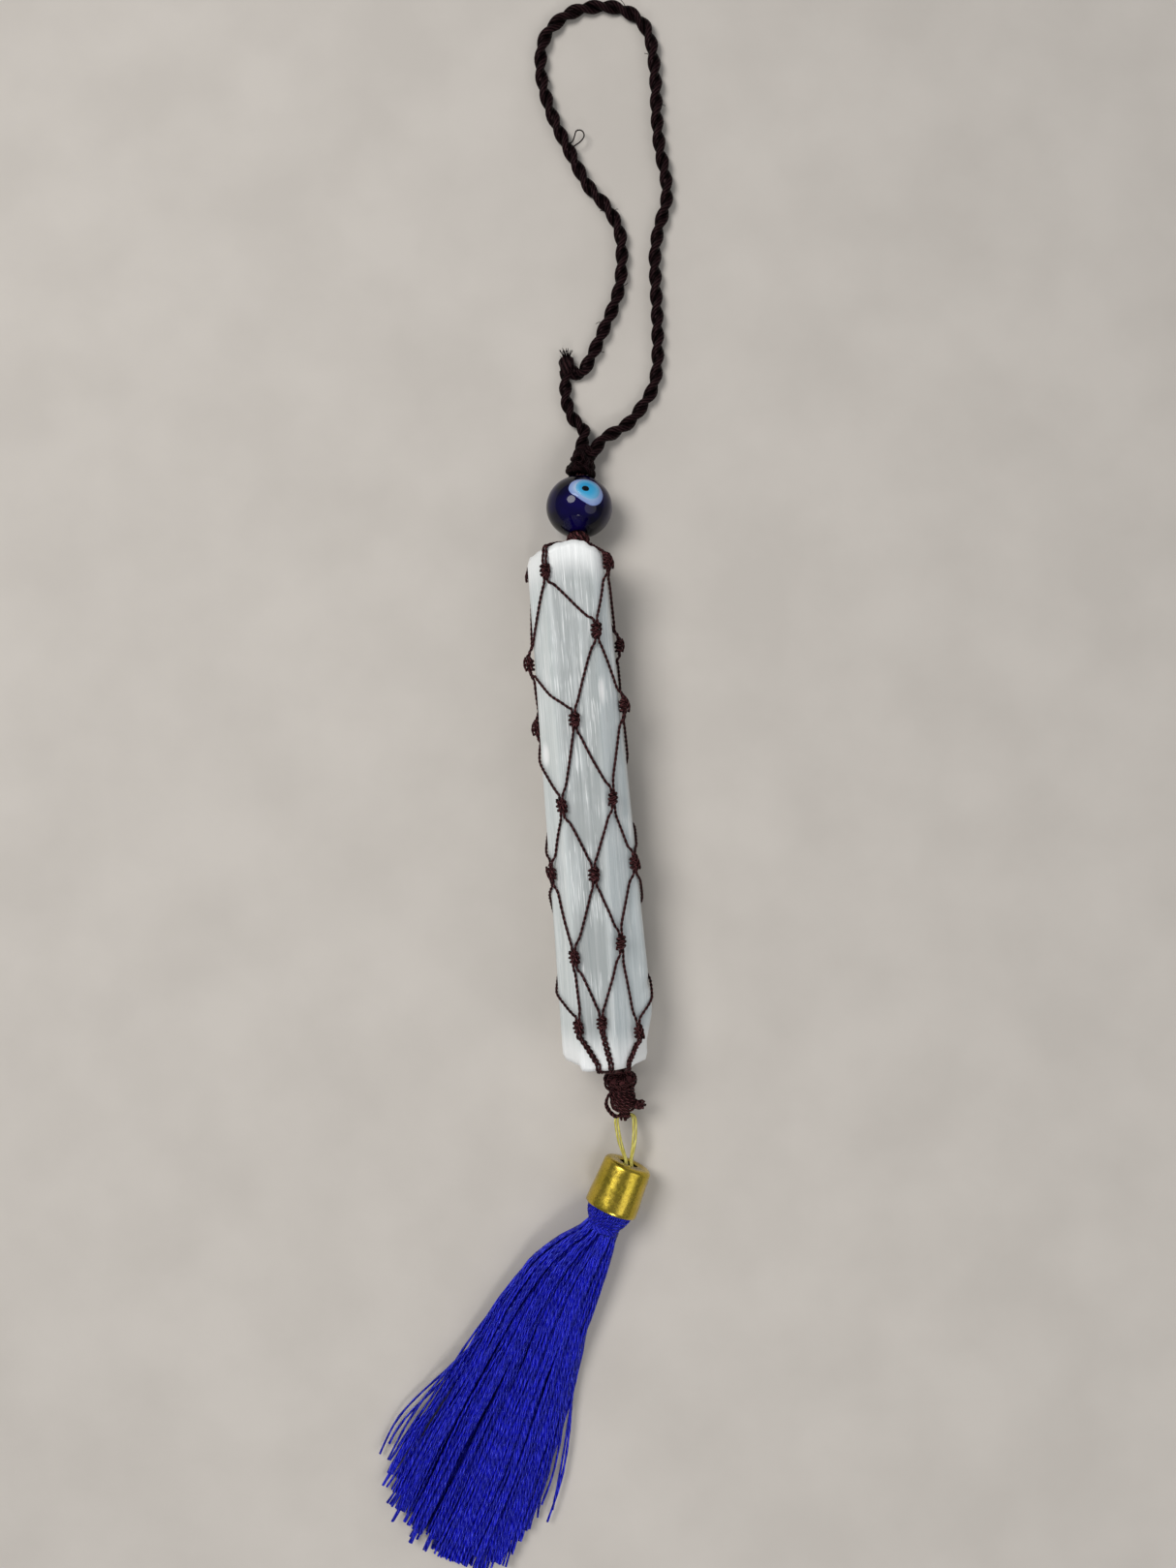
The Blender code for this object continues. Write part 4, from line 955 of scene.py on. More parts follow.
def buildTopKnot(axes):
    # Slanted turns of the rope, with two bights crossing over them.
    middle, lines = joints["loop_swing"], []
    for lean, height, reach, shift in ((0.3, -1.5, 1.95, 0.0), (-0.25, -0.4, 1.85, 0.0), (0.45, 0.8, 1.5, -0.3),
                                       (-0.3, 2.0, 1.2, -0.8), (0.5, 3.1, 1.0, -1.3)):
        points = []
        for i in range(21):
            turn = 2 * math.pi * i / 20
            points.append(middle + axes @ Vector((shift * mm + reach * mm * 1.12 * math.cos(turn),
                                                  reach * mm * math.sin(turn),
                                                  height * mm + lean * mm * math.cos(turn))))
        lines.append(points)
    for side in (-1, 1):
        bight = [(0.7 * side, 1.5, -1.9), (1.1 * side, 2.05, -0.6), (0.6 * side, 2.2, 0.7), (-0.2 * side, 1.7, 1.9),
                 (-0.7 * side, 0.9, 2.7)]
        lines.append(smoothLine([middle + axes @ (Vector(place) * mm) for place in bight], 0.35 * mm))
    mesh = sweptMesh("topKnot", lines, topKnot, hangingRope)
    newPiece("topKnot", mesh, "neck", "net_cord", None, ["top_knot"])


def buildBead():
    middle = middleOf("bead_glass")
    axes = axesAlong(neckStart, joints["loop_swing"])
    across, along, bore = beadShape["across"] / 2, beadShape["along"] / 2, beadShape["bore"] / 2
    lip = math.asin((bore + 0.25 * mm) / across)
    outer = []
    for i in range(beadShape["arc"] + 1):
        turn = lip + (math.pi - 2 * lip) * i / beadShape["arc"]
        outer.append((across * math.sin(turn), along * math.cos(turn)))
    top, foot = outer[0], outer[-1]
    inner = [(bore + 0.07 * mm, foot[1] - 0.02 * mm), (bore, foot[1] + 0.3 * mm), (bore, 0.0),
             (bore, top[1] - 0.3 * mm), (bore + 0.07 * mm, top[1] + 0.02 * mm)]
    mesh = latheMesh("beadGlass", outer + inner, beadShape["sides"], True, middle, axes,
                     lambda turn, height: 0.05 * mm * noise.noise(Vector((math.cos(turn), math.sin(turn),
                                                                         height * 250))))
    newPiece("beadGlass", mesh, "bead", "cobalt_glass", cobalt, ["bead_glass"])
    for side in ("front", "back"):
        look = (middleOf(f"eye_{side}_pupil") - middle).normalized()
        level = axes.col[2].cross(look).normalized()
        level = level if level.x * look.z > 0 or side == "back" else -level
        holder = 0.0
        for layer, glass, slot in (("white", eyeMilk, "eye_white"), ("iris", eyeSky, "eye_blue"),
                                   ("pupil", eyeInk, "eye_black")):
            mesh = eyeLayer(layer, middle, axes, look, level)
            newPiece(f"eye{side.capitalize()}{layer.capitalize()}", mesh, "bead", slot, glass,
                     [f"eye_{side}_{layer}"])


def eyeLayer(layer, middle, axes, look, level):
    # A lens of glass that follows the bead's surface, with its underside sunk in the bead.
    outline = [Vector((x, y)) for x, y in eyeShape[layer]]
    closed = [outline[-1]] + outline + outline[:2]
    edge = []
    for i in range(len(outline)):
        p0, p1, p2, p3 = closed[i:i + 4]
        for step in range(5):
            t = step / 5
            edge.append(0.5 * (2 * p1 + (p2 - p0) * t + (2 * p0 - 5 * p1 + 4 * p2 - p3) * t ** 2
                               + (3 * p1 - p0 - 3 * p2 + p3) * t ** 3) * mm)
    upward = look.cross(level).normalized()
    across, along, proud = beadShape["across"] / 2, beadShape["along"] / 2, eyeShape["proud"][layer]

    def onBead(flat, lift):
        # Walks out along the look direction until the bead's surface, grown by lift, is reached.
        start = level * flat.x + upward * flat.y
        low, high = 0.0, across * 1.3
        for _ in range(26):
            half = (low + high) / 2
            spot = axes.transposed() @ (start + look * half)
            inside = (spot.x ** 2 + spot.y ** 2) / (across + lift) ** 2 + spot.z ** 2 / (along + lift) ** 2 < 1
            low, high = (half, high) if inside else (low, half)
        return middle + start + look * low

    shape = bmesh.new()
    rim = shape.verts.layers.float.new("rim")
    top, rings = 9, []
    for ringNumber in range(1, top + 1):
        share = ringNumber / top
        lift = proud if ringNumber < top else -0.05 * mm
        if ringNumber == top - 1:
            share = 0.96
        ring = []
        for flat in edge:
            vertex = shape.verts.new(onBead(flat * share, lift * (1 if ringNumber < top else 1)))
            vertex[rim] = smoothStep((share - 0.45) / 0.55)
            ring.append(vertex)
        rings.append(ring)
    rings.append([shape.verts.new(onBead(flat * 0.9, -0.5 * mm)) for flat in edge])
    for ring in rings[-1]:
        ring[rim] = 1.0
    for inner, outer in zip(rings, rings[1:]):
        for i in range(len(edge)):
            j = (i + 1) % len(edge)
            shape.faces.new((inner[i], inner[j], outer[j], outer[i]))
    centre = shape.verts.new(onBead(Vector((0, 0)), proud))
    floor = shape.verts.new(onBead(Vector((0, 0)), -0.5 * mm))
    floor[rim] = 1.0
    for i in range(len(edge)):
        j = (i + 1) % len(edge)
        shape.faces.new((centre, rings[0][i], rings[0][j]))
        shape.faces.new((floor, rings[-1][j], rings[-1][i]))
    bmesh.ops.recalc_face_normals(shape, faces=shape.faces)
    for face in shape.faces:
        face.smooth = True
    mesh = bpy.data.meshes.new(layer)
    shape.to_mesh(mesh)
    shape.free()
    return mesh


# Hanging rope

rope = {"thickness": 2.55 * mm, "plies": 2, "groove": 0.62, "pitch": 7.5 * mm, "step": 0.42 * mm, "sides": 20,
        "lift": 0.24 * mm,  # the plies' tops stand out past the rope's mean thickness
        # Places from the top knot's middle across and along, and the height over the table, in mm
        "route": [(0.9, 1.0, 3.2), (2.3, 1.8, 2.9), (3.5, 3.7, 2.6), (5.1, 5.3, 2.0), (7.8, 6.6, 1.4),
                  (10.4, 8.4, 1.05), (12.7, 11.0, 1.05), (14.8, 14.0, 1.05), (16.0, 18.0, 1.05),
                  (16.5, 23.0, 1.05), (16.8, 28.0, 1.05),
                  (17.0, 34.5, 1.05), (17.3, 39.5, 1.05), (18.4, 44.5, 1.05), (20.2, 49.2, 1.05),
                  (20.5, 54.0, 1.05), (19.8, 59.5, 1.05), (19.7, 66.0, 1.05), (20.0, 72.5, 1.05),
                  (19.7, 80.2, 1.05), (17.9, 84.3, 1.05), (14.2, 86.8, 1.05), (10.0, 87.5, 1.05),
                  (5.8, 87.0, 1.05), (2.2, 85.2, 1.05), (-0.6, 82.0, 1.05), (-1.6, 77.5, 1.05),
                  (-1.4, 73.0, 1.05), (0.0, 67.0, 1.05), (2.6, 60.4, 1.05), (5.6, 53.6, 1.05), (8.8, 49.3, 1.05),
                  (10.8, 44.9, 1.05), (11.0, 40.0, 1.05), (10.2, 34.5, 1.05), (8.6, 30.2, 1.05), (6.3, 25.8, 1.05),
                  (4.0, 21.6, 1.05), (2.3, 18.9, 1.05), (1.45, 17.9, 1.05), (0.3, 18.0, 1.15), (-0.5, 19.0, 1.25)]}
leg = {"thickness": 2.55 * mm, "plies": 2, "groove": 0.6, "pitch": 6.2 * mm, "step": 0.4 * mm, "sides": 20,
       "route": [(-0.3, 1.4, 3.2), (-0.1, 2.9, 2.9), (0.9, 4.9, 2.4), (1.2, 6.6, 1.9), (0.5, 8.1, 1.5),
                 (-0.8, 9.6, 1.25), (-1.6, 12.2, 1.15), (-1.8, 14.4, 1.1), (-1.6, 16.4, 1.1), (-1.4, 18.6, 1.1)]}
fray = {"thickness": 0.16 * mm, "count": 34, "seed": 5}


def placeRoute(route):
    knotMiddle = joints["loop_swing"]
    return [Vector((knotMiddle.x + x * mm, knotMiddle.y + y * mm, height * mm + rope["lift"]))
            for x, y, height in route]


def buildRope():
    line = smoothLine(placeRoute(rope["route"]), 0.8 * mm)
    mesh = sweptMesh("loopRope", [line], rope, hangingRope)
    ropePiece = newPiece("loopRope", mesh, "loop", "net_cord", None, ["loop_cord"])
    legLine = smoothLine(placeRoute(leg["route"]), 0.6 * mm)
    legPiece = newPiece("legRope", sweptMesh("legRope", [legLine], leg, hangingRope), "loop", "net_cord", None,
                        ["loop_leg"])
    joinPiece = buildJoin()
    low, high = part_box("loop_join")
    frayPiece = buildFray(Vector(((low.x + high.x) / 2, high.y - 0.5 * mm, (low.z + high.z) / 2)))
    strayPiece = buildStray(line)
    tuple(line[0])
    lineLength(line)
    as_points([tuple(place) for place in line[::2]] + [tuple(line[-1])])
    print("rope length", round(lineLength(line), 4), "m")


def buildJoin():
    # The melted lump where the rope's end is fused to the short leg.
    middle, size = middleOf("loop_join"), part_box("loop_join")
    half = (size[1] - size[0]) / 2
    shape = bmesh.new()
    bmesh.ops.create_icosphere(shape, subdivisions=4, radius=1.0)
    for vertex in shape.verts:
        spot = vertex.co.copy()
        lump = 1 + 0.10 * noise.noise(spot * 2.3) + 0.05 * noise.noise(spot * 6.0)
        ridge = 0.05 * math.sin(9 * spot.y + 3 * math.atan2(spot.z, spot.x))
        wide = 1 + 0.5 * max(0.0, spot.y)  # the melted end flares a little
        vertex.co = middle + Vector((spot.x * half.x * wide, min(spot.y, 0.86) * half.y,
                                     spot.z * half.z)) * (lump + ridge)
    along = shape.verts.layers.float.new("along")
    around = shape.verts.layers.float_vector.new("around")
    for vertex in shape.verts:
        vertex[along] = vertex.co.y
        vertex[around] = ((vertex.co.x - middle.x) / half.x, (vertex.co.z - middle.z) / half.z, 0)
    for face in shape.faces:
        face.smooth = True
    mesh = bpy.data.meshes.new("ropeJoin")
    shape.to_mesh(mesh)
    shape.free()
    return newPiece("ropeJoin", mesh, "loop", "net_cord", hangingRope, ["loop_join"])


def buildFray(end):
    # Loose fibres at the short leg's cut end.
    pick = random.Random(fray["seed"])
    lines = []
    for _ in range(fray["count"]):
        turn, lean = pick.uniform(0, 2 * math.pi), pick.uniform(0.1, 0.7)
        start = end + Vector((math.cos(turn) * 0.8 * mm * pick.random(), -0.4 * mm,
                              abs(math.sin(turn)) * 0.5 * mm * pick.random()))
        reach = pick.uniform(0.7, 2.3) * mm
        tip = start + Vector((math.cos(turn) * lean, 1.0, 0.25 * abs(math.sin(turn)))) * reach
        bend = start.lerp(tip, 0.5) + Vector((pick.uniform(-0.2, 0.2), 0, pick.uniform(0, 0.2))) * mm
        lines.append(smoothLine([start, bend, tip], 0.35 * mm))
    mesh = sweptMesh("legFray", lines, {"thickness": fray["thickness"], "pitch": 0.8 * mm, "step": 0.3 * mm,
                                        "sides": 5, "groove": 0.1}, hangingRope)
    return newPiece("legFray", mesh, "loop", "net_cord")


def buildStray(line):
    # A thread pulled out of the rope into a small ring, and a few hairs.
    lines = []
    start = min(line, key=lambda place: (place - placeRoute([(2.4, 60.8, 1.0)])[0]).length)
    ring = [(0.3, -0.6, 0.3), (1.3, 0.0, 0.6), (2.5, 0.6, 0.9), (3.3, 1.7, 0.8), (2.9, 2.8, 0.6), (1.9, 2.9, 0.5),
            (1.5, 2.0, 0.5), (1.0, 1.0, 0.3), (0.2, 0.6, 0.2)]
    lines.append(smoothLine([start + Vector(place) * mm for place in ring], 0.3 * mm))
    pick = random.Random(fray["seed"] + 1)
    for _ in range(16):
        root = line[pick.randrange(8, len(line) - 8)]
        turn = pick.uniform(0, 2 * math.pi)
        side = Vector((math.cos(turn), math.sin(turn), 0.15))
        reach = pick.uniform(1.3, 2.4) * mm
        lines.append(smoothLine([root + side * 0.7 * mm, root + side * reach * 0.7 + Vector((0, 0, 0.3 * mm)),
                                 root + side * reach + Vector((pick.uniform(-0.4, 0.4), pick.uniform(-0.4, 0.4), 0)) * mm],
                                0.3 * mm))
    widths = [[1.0] * len(lines[0])] + [[0.45] * len(hair) for hair in lines[1:]]
    mesh = sweptMesh("ropeStray", lines, {"thickness": 0.3 * mm, "pitch": 1.0 * mm, "step": 0.3 * mm, "sides": 6,
                                          "groove": 0.2}, hangingRope, widths)
    return newPiece("ropeStray", mesh, "loop", "net_cord")


# Wrapped knot under the stick

wrap = {"thickness": 0.6 * mm, "plies": 2, "groove": 0.3, "pitch": 2.0 * mm, "step": 0.26 * mm, "sides": 8,
        "headRadius": 3.0 * mm, "headHalf": 1.6 * mm, "clear": 0.1 * mm, "coilRadius": 2.5 * mm,
        "coilLength": 4.8 * mm, "coilCord": 0.56 * mm, "turns": 7, "eye": 2.6 * mm, "eyeCord": 0.7 * mm, "seed": 21}


def buildWrap():
    origin = joints["wrap_swing"]
    eyeMiddle = joints["gold_loop_swing"]
    axes = axesAlong(origin, eyeMiddle)
    pick = random.Random(wrap["seed"])
    headMiddle = wrap["clear"] + wrap["headHalf"]

    def local(x, y, z):
        return origin + axes @ Vector((x, y, z))

    # The gathered cords bulge over a core, in leaning bights.
    lines = []
    for i in range(15):
        turn, lean = 2 * math.pi * i / 15, pick.uniform(0.25, 0.8) * (1 if i % 2 else -1)
        points = []
        for step in range(13):
            share = step / 12
            polar = 0.32 + (math.pi - 0.75) * share
            reach = (wrap["headRadius"] - wrap["thickness"] * (0.42 + 0.25 * (i % 3 == 0))) * math.sin(polar)
            height = headMiddle - (wrap["headHalf"] - 0.1 * mm) * math.cos(polar)
            here = turn + lean * (share - 0.5) * 2
            points.append(local(reach * math.cos(here), reach * math.sin(here), height))
        lines.append(smoothLine(points, 0.3 * mm))
    rounds = []
    for height, lean in ((-0.3, 0.3), (0.55, -0.25)):
        for i in range(25):
            turn = 2 * math.pi * i / 24
            rounds.append(local((wrap["headRadius"] - 0.12 * mm) * math.cos(turn),
                                (wrap["headRadius"] - 0.12 * mm) * math.sin(turn),
                                headMiddle + height * mm + lean * mm * math.cos(turn + 1)))
        lines.append(smoothLine(rounds, 0.3 * mm))
        rounds = []
    mesh = sweptMesh("wrapCords", lines, wrap, waxedCord)
    newPiece("wrapCords", mesh, "wrap", "net_cord")
    core = [(0.02 * mm, headMiddle - wrap["headHalf"] + 0.3 * mm)]
    for i in range(1, 10):
        polar = math.pi * i / 12
        core.append(((wrap["headRadius"] - 0.45 * mm) * math.sin(polar),
                     headMiddle - (wrap["headHalf"] - 0.3 * mm) * math.cos(polar)))
    coilStart = headMiddle + wrap["headHalf"]
    coilStop = coilStart + wrap["coilLength"]
    core += [(1.75 * mm, coilStart + 0.1 * mm), (1.7 * mm, coilStop - 0.3 * mm), (1.2 * mm, coilStop),
             (0.02 * mm, coilStop + 0.05 * mm)]
    mesh = latheMesh("wrapCore", core, 32, False, origin, axes)
    newPiece("wrapCore", mesh, "wrap", "net_cord", waxedCord, ["wrap_core"])

    # The wound coil, with turns that aren't quite even.
    points = []
    count = wrap["turns"] * 18
    for i in range(count + 1):
        share = i / count
        turn = 2 * math.pi * wrap["turns"] * share
        reach = wrap["coilRadius"] - wrap["thickness"] / 2 + 0.06 * mm * math.sin(turn * 0.37 + 1)
        points.append(local(reach * math.cos(turn), reach * math.sin(turn),
                            coilStart - 0.1 * mm + (wrap["coilLength"] + 0.1 * mm) * share
                            + 0.35 * mm * math.cos(turn)))  # the turns lean
    mesh = sweptMesh("wrapCoil", [smoothLine(points, 0.3 * mm)], {**wrap, "thickness": wrap["coilCord"]}, waxedCord)
    newPiece("wrapCoil", mesh, "wrap", "net_cord", None, ["wrap_coil"])

    # The eye that takes the gold loop.
    eyeAt = (eyeMiddle - origin).length
    ringReach = (wrap["eye"] - wrap["eyeCord"]) / 2
    ring = []
    for i in range(23):
        turn = -math.pi * 0.92 + 2 * math.pi * 0.96 * i / 22 + math.pi / 2 * 0
        ring.append(local(0.0, ringReach * math.sin(turn), eyeAt + ringReach * math.cos(turn)))
    mesh = sweptMesh("wrapEye", [ring], {**wrap, "thickness": wrap["eyeCord"]}, waxedCord)
    newPiece("wrapEye", mesh, "wrap", "net_cord", None, ["wrap_eye"])
    buildSideLoop(local, eyeAt)
    buildTagEnds(local, coilStart, coilStop, pick)


def buildSideLoop(local, eyeAt):
    lines = []
    for number, shift in enumerate((0.0, 0.5 * mm)):
        route = [local(-1.9 * mm, 1.3 * mm, eyeAt - 6.6 * mm),
                 local(-2.7 * mm - shift * 0.3, 1.3 * mm + shift * 0.6, eyeAt - 5.4 * mm),
                 local(-3.1 * mm - shift * 0.4, 1.0 * mm + shift, eyeAt - 3.6 * mm),
                 local(-2.6 * mm - shift * 0.2, 0.8 * mm + shift, eyeAt - 1.7 * mm),
                 local(-1.7 * mm, 1.1 * mm + shift, eyeAt - 0.8 * mm),
                 local(-0.9 * mm + shift * 0.5, 1.1 * mm, eyeAt - (0.6 + 0.4 * number) * mm)]
        lines.append(smoothLine(route, 0.3 * mm))
    mesh = sweptMesh("wrapSideLoop", lines, wrap, waxedCord)
    newPiece("wrapSideLoop", mesh, "wrap", "net_cord", None, ["wrap_side_loop"])


def buildTagEnds(local, coilStart, coilStop, pick):
    # Cut cord ends that stand out beside the coil and hang below it.
    lines = []
    for i in range(7):
        turn = -0.35 + 0.22 * i
        start = local(1.6 * mm * math.cos(turn), 1.6 * mm * math.sin(turn), coilStop - 1.5 * mm)
        reach = pick.uniform(1.3, 2.1) * mm
        bend = local(2.2 * mm + reach * 0.5, 0.5 * mm + i * 0.22 * mm, coilStop - 1.3 * mm + 0.12 * i * mm)
        tip = local(2.2 * mm + reach, 0.3 * mm + i * 0.2 * mm, coilStop - 0.8 * mm + pick.uniform(-0.8, 0.6) * mm)
        lines.append(smoothLine([start, bend, tip], 0.3 * mm))
    for i in range(6):
        x = (-0.7 + 0.28 * i) * mm
        start = local(x, 1.1 * mm, coilStop - 0.4 * mm)
        bend = local(x * 1.15, 1.35 * mm, coilStop + 0.7 * mm)
        tip = local(x * 1.1, 1.05 * mm, coilStop + pick.uniform(1.2, 2.2) * mm)
        lines.append(smoothLine([start, bend, tip], 0.3 * mm))
    mesh = sweptMesh("wrapTagEnds", lines, wrap, waxedCord)
    newPiece("wrapTagEnds", mesh, "wrap", "net_cord")


# Gold loop

gold = {"thickness": 0.46 * mm, "plies": 2, "groove": 0.08, "pitch": 2.6 * mm, "step": 0.3 * mm, "sides": 10,
        "width": 3.4 * mm, "cord": 0.8 * mm, "capWall": 0.35 * mm, "drop": 1.1 * mm, "stopper": 1.95 * mm}


def buildGoldLoop():
    start, hole = joints["gold_loop_swing"], joints["tassel_swing"]
    axes = axesAlong(start, hole)
    long = (hole - start).length
    half, pinch = gold["width"] / 2, gold["cord"] / 2 + 0.075 * mm
    inside = long + gold["capWall"] + gold["drop"]
    bend = half * 0.62
    right = [(0.0, 0.0), (bend * 0.7, 0.0), (bend + 0.35 * mm, 0.25 * mm), (half - 0.05 * mm, 0.8 * mm),
             (half, 1.7 * mm), (half * 0.8, long * 0.55), (pinch * 1.25, long - 0.9 * mm), (pinch, long),
             (pinch, inside)]
    lines = []
    for shift in (-0.25 * mm, 0.25 * mm):  # an inner and an outer strand, side by side
        half1 = [Vector((x + shift * min(1.0, x / mm), shift * 0.2, z - shift * (1 - min(1.0, x / mm))))
                 for x, z in right]
        route = [Vector((-place.x, place.y, place.z)) for place in reversed(half1[1:])] + half1
        lines.append(smoothLine([start + axes @ place for place in route], 0.35 * mm))
    mesh = sweptMesh("goldLoop", lines, gold, goldThread)
    newPiece("goldLoop", mesh, "gold_loop", "gold_cord", None, ["gold_loop"])

    # The knot inside the cap.
    middle = long + gold["capWall"] + gold["drop"] + gold["stopper"]
    points = []
    for i in range(61):
        share = i / 60
        turn, polar = 2 * math.pi * 4 * share, math.pi * (0.12 + 0.76 * share)
        reach = gold["stopper"] - 0.35 * mm
        points.append(start + axes @ Vector((reach * math.sin(polar) * math.cos(turn),
                                             reach * math.sin(polar) * math.sin(turn),
                                             middle - reach * math.cos(polar))))
    core = [start + axes @ Vector((0, 0, middle + reach * mm)) for reach in (-1.3, -0.6, 0.0, 0.6, 1.3)]
    widths = [[1.0] * len(points), [1.2, 3.2, 3.8, 3.2, 1.2]]
    mesh = sweptMesh("goldStopper", [points, core], {**gold, "thickness": 0.7 * mm}, goldThread, widths)
    newPiece("goldStopper", mesh, "gold_loop", "gold_cord", None, ["gold_stopper"])


# Tassel

cap = {"mouth": 10.1 * mm, "taper": 0.9 * mm, "height": 9.2 * mm, "wall": 0.35 * mm, "shoulder": 0.9 * mm,
       "hole": 1.8 * mm, "sides": 96, "dent": 0.05 * mm}
head = {"thickness": 0.5 * mm, "plies": 2, "groove": 0.25, "pitch": 1.5 * mm, "step": 0.45 * mm, "sides": 8,
        "count": 60, "below": 3.2 * mm, "start": 5.65 * mm}
binding = {"thickness": 0.34 * mm, "radius": 3.15 * mm, "width": 1.2 * mm, "turns": 4, "pitch": 1.4 * mm,
           "step": 0.35 * mm, "sides": 8}
skirt = {
    "thickness": 0.54 * mm, "plies": 2, "groove": 0.42, "pitch": 2.6 * mm, "step": 2.0 * mm, "sides": 6,
    "count": 430, "locks": 118, "seed": 7,
    # Distance below the binding, shift to the left, half width, half depth, in mm
    "sections": [(0.0, 0.0, 3.0, 3.0), (4.0, 1.5, 5.2, 3.3), (10.0, 2.9, 7.1, 3.2), (20.0, 3.8, 8.7, 2.9),
                 (34.0, 4.1, 10.9, 2.5), (48.0, 4.6, 12.8, 2.1), (58.0, 4.9, 13.5, 1.8), (71.0, 5.5, 14.6, 1.6)],
    # Where the threads end: place across and distance below the binding, in mm
    "ends": [(-20.5, 56.0), (-18.5, 60.0), (-15.2, 64.0), (-10.4, 68.0), (-3.0, 70.2), (2.0, 69.5), (5.5, 66.5),
             (8.5, 61.0), (11.0, 55.0)],
    # Single threads that stray outside: side, spread, where they leave
    "strays": [(-1, 1.36, 18), (-1, 1.32, 20), (-1, 1.27, 22), (-1, 1.24, 16), (-1, 1.20, 26), (-1, 1.17, 20),
               (-1, 1.14, 28), (-1, 1.10, 30), (-1, 1.07, 34), (1, 1.38, 30), (1, 1.32, 24), (1, 1.2, 34),
               (1, 1.12, 30)],
}


def buildTassel():
    hole = joints["tassel_swing"]
    far = middleOf("tassel_binding")
    axes = axesAlong(hole, Vector((far.x, far.y, hole.z)))
    mouth, top = cap["mouth"] / 2, (cap["mouth"] - cap["taper"]) / 2

    # Cap: an open shell from the hole over the shoulder to the mouth.
    arc = []
    for i in range(9):
        turn = math.pi / 2 * i / 8
        arc.append((top - cap["shoulder"] * (1 - math.sin(turn)), cap["shoulder"] * (1 - math.cos(turn))))
    outer = [(cap["hole"] + 0.12 * mm, 0.0)] + arc
    for i in range(1, 14):
        share = i / 14
        outer.append((top + (mouth - top) * share, cap["shoulder"] + (cap["height"] - cap["shoulder"]) * share))
    outer += [(mouth - 0.02 * mm, cap["height"] - 0.10 * mm), (mouth - 0.12 * mm, cap["height"])]
    inner = [(mouth - cap["wall"] + 0.08 * mm, cap["height"]), (mouth - cap["wall"], cap["height"] - 0.12 * mm),
             (top - cap["wall"], cap["shoulder"] + 0.2 * mm), (top - cap["wall"] - 0.4 * mm, cap["wall"] + 0.12 * mm),
             (top - cap["shoulder"], cap["wall"]), (cap["hole"] + 0.1 * mm, cap["wall"]),
             (cap["hole"], cap["wall"] * 0.65), (cap["hole"], cap["wall"] * 0.3)]
    mesh = latheMesh("tasselCap", outer + inner, cap["sides"], True, hole, axes,
                     lambda turn, height: cap["dent"] * noise.noise(
                         Vector((math.cos(turn) * 2.2, math.sin(turn) * 2.2, height * 350))))
    newPiece("tasselCap", mesh, "tassel", "cap_metal", brass, ["tassel_cap"])

    # Head: threads folded over inside the cap, drawn in to the binding.
    bore = mouth - cap["wall"] - 0.35 * mm
    neckReach = binding["radius"] - 0.30 * mm
    below = cap["height"] + head["below"]
    bindEnd = below + 0.15 * mm + binding["width"]
    profile = [(1.6 * mm, head["start"]), (top - 1.6 * mm, head["start"] + 0.3 * mm),
               (bore - 0.35 * mm, cap["height"] - 0.6 * mm), (bore - 0.3 * mm, cap["height"] + 0.8 * mm),
               (bore - 0.75 * mm, cap["height"] + 2.0 * mm), (neckReach + 0.2 * mm, below - 0.3 * mm),
               (neckReach, below + 0.2 * mm), (neckReach, bindEnd)]
    lines = []
    pick = random.Random(31)
    for i in range(head["count"]):
        turn, sway = 2 * math.pi * i / head["count"], pick.uniform(-0.05, 0.05)
        lean = pick.uniform(0.05, 0.2)
        points = []
        for number, (reach, height) in enumerate(profile):
            here = turn + sway * math.sin(number) + lean * number / len(profile)
            lift = pick.uniform(-0.08, 0.08) * mm
            points.append(hole + axes @ Vector(((reach + lift) * math.cos(here), (reach + lift) * math.sin(here),
                                                height)))
        lines.append(smoothLine(points, 0.5 * mm))
    mesh = sweptMesh("headThreads", lines, head, royalSilk)
    newPiece("headThreads", mesh, "tassel", "tassel_silk")
    core = [(0.02 * mm, head["start"] - 0.05 * mm)] + [(reach - 0.1 * mm, height) for reach, height in profile]
    core += [(0.02 * mm, bindEnd)]
    mesh = latheMesh("headCore", core, 40, False, hole, axes)
    newPiece("headCore", mesh, "tassel", "tassel_silk", royalSilk, ["tassel_head"])

    points = []
    count = binding["turns"] * 24
    for i in range(count + 1):
        share = i / count
        turn = 2 * math.pi * binding["turns"] * share
        reach = binding["radius"] - binding["thickness"] / 2
        points.append(hole + axes @ Vector((reach * math.cos(turn), reach * math.sin(turn),
                                            below + 0.3 * mm + (binding["width"] - 0.35 * mm) * share)))
    mesh = sweptMesh("bindingThread", [smoothLine(points, 0.35 * mm)], binding, royalSilk)
    newPiece("bindingThread", mesh, "tassel", "tassel_silk", None, ["tassel_binding"])
    buildSkirt(hole, axes, bindEnd)


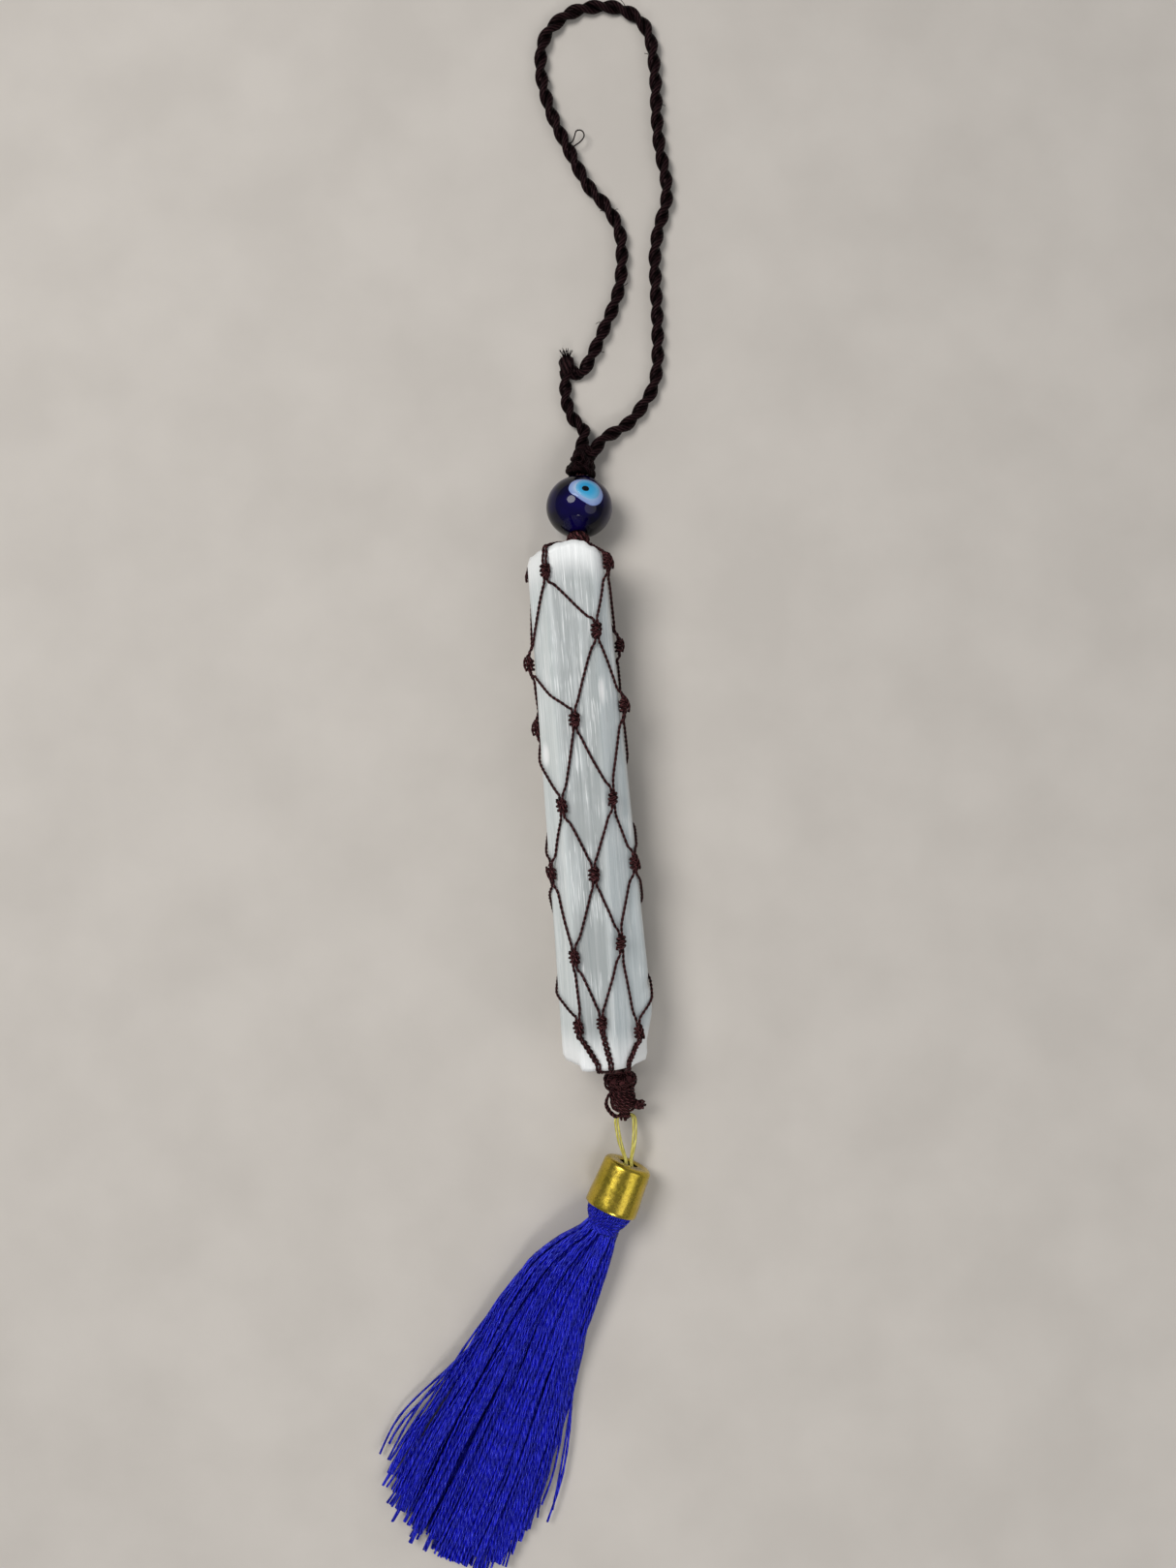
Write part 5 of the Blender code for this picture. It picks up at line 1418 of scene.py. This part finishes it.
def buildSkirt(hole, axes, start):
    # Threads fan from the binding and sink to lie on the table.
    pick = random.Random(skirt["seed"])
    sections, lines, locks = skirt["sections"], [], []
    for _ in range(skirt["locks"]):
        turn, reach = pick.uniform(0, 2 * math.pi), math.sqrt(pick.uniform(0.02, 1.0))
        locks.append((reach * math.cos(turn), reach * math.sin(turn), pick.gauss(0, 0.05), pick.uniform(0.1, 0.5),
                      pick.uniform(0, 6.28)))
    for number in range(skirt["count"] + len(skirt["strays"])):
        lockU, lockV, drift, sway, phase = locks[number % len(locks)]
        u, v = lockU + pick.gauss(0, 0.032), lockV + pick.gauss(0, 0.07)
        reach = max(1.0, math.hypot(u, v))
        u, v = u / reach, v / reach
        spread, leaves, lift = 1.0, 30, pick.uniform(-1.2, 0.6) + 1.6 * math.sin(phase * 5)
        if number >= skirt["count"]:
            side, spread, leaves = skirt["strays"][number - skirt["count"]]
            u, v, sway, drift = side * 0.97, pick.uniform(-0.4, 0.2), 0.7, 0.0
        drift, phase = drift + pick.gauss(0, 0.02), phase + pick.gauss(0, 0.6)
        last = min(between(skirt["ends"], -4.9 + 13.8 * u * spread, 1) + lift, 70.9)
        points, distance = [], -1.0
        while distance < last:
            share = max(0.0, distance / 70)
            away = smoothStep((distance - leaves) / 34) * (spread - 1)
            x = -between(sections, distance, 1) + between(sections, distance, 2) * (u * (1 + away) + drift * share * 1.5)
            x += sway * math.sin(distance * 0.16 + phase) * min(1.0, share * 3)
            depth = between(sections, distance, 3)
            sink = min(1.0, max(0.0, distance / 16)) ** 0.7
            rest = depth * mm + 0.25 * mm
            height = (rest - hole.z) * sink + depth * mm * v * 0.95
            place = hole + axes @ Vector((x * mm, height, start + distance * mm))
            place.z = max(place.z, 0.26 * mm)
            points.append(place)
            distance += 2.6
        lines.append(smoothLine(points, 1.8 * mm))
    mesh = sweptMesh("tasselThreads", lines, skirt, royalSilk)
    newPiece("tasselThreads", mesh, "tassel", "tassel_silk", None, ["tassel_skirt"])


# Studio

studio = {"world": 0.24, "key": 3.3, "keyPlace": (-0.30, 0.26, 0.62), "keySize": 0.36,
          "fill": 0.8, "fillPlace": (0.42, -0.18, 0.5), "fillSize": 0.5,
          "strip": 0.35, "stripPlace": (-0.05, -0.34, 0.32), "stripSize": 0.12}


def addLamp(name, power, place, size, aim):
    data = bpy.data.lights.new(name, "AREA")
    data.shape = "DISK"
    data.energy, data.size = power, size
    data.color = (1.0, 0.985, 0.96)
    lamp = bpy.data.objects.new(name, data)
    lamp.location = Vector(place) + aim
    lamp.rotation_euler = (aim - lamp.location).to_track_quat("-Z", "Y").to_euler()
    bpy.context.scene.collection.objects.link(lamp)


def buildStudio(middle):
    shape = bmesh.new()
    bmesh.ops.create_grid(shape, x_segments=2, y_segments=2, size=1.5)
    mesh = bpy.data.meshes.new("tableTop")
    shape.to_mesh(mesh)
    shape.free()
    mesh.materials.append(table)
    floor = bpy.data.objects.new("tableTop", mesh)
    bpy.context.scene.collection.objects.link(floor)
    aim = Vector((middle.x, middle.y, 0))
    addLamp("keyLamp", studio["key"], studio["keyPlace"], studio["keySize"], aim)
    addLamp("fillLamp", studio["fill"], studio["fillPlace"], studio["fillSize"], aim)
    addLamp("stripLamp", studio["strip"], studio["stripPlace"], studio["stripSize"], aim)
    world = bpy.data.worlds.new("studio")
    world.use_nodes = True
    world.node_tree.nodes["Background"].inputs["Color"].default_value = (0.92, 0.95, 1.0, 1)
    world.node_tree.nodes["Background"].inputs["Strength"].default_value = studio["world"]
    bpy.context.scene.world = world
    bpy.context.scene.view_settings.view_transform = "Standard"


addCamera(stickMiddle)
buildRope()
print("camera and rope ready")
buildStick()
print("stick ready")
buildNet()
print("net ready")
buildNeck()
buildBead()
print("neck and bead ready")
buildWrap()
buildGoldLoop()
print("wrap and gold loop ready")
buildTassel()
print("tassel ready")
buildStudio(stickMiddle)
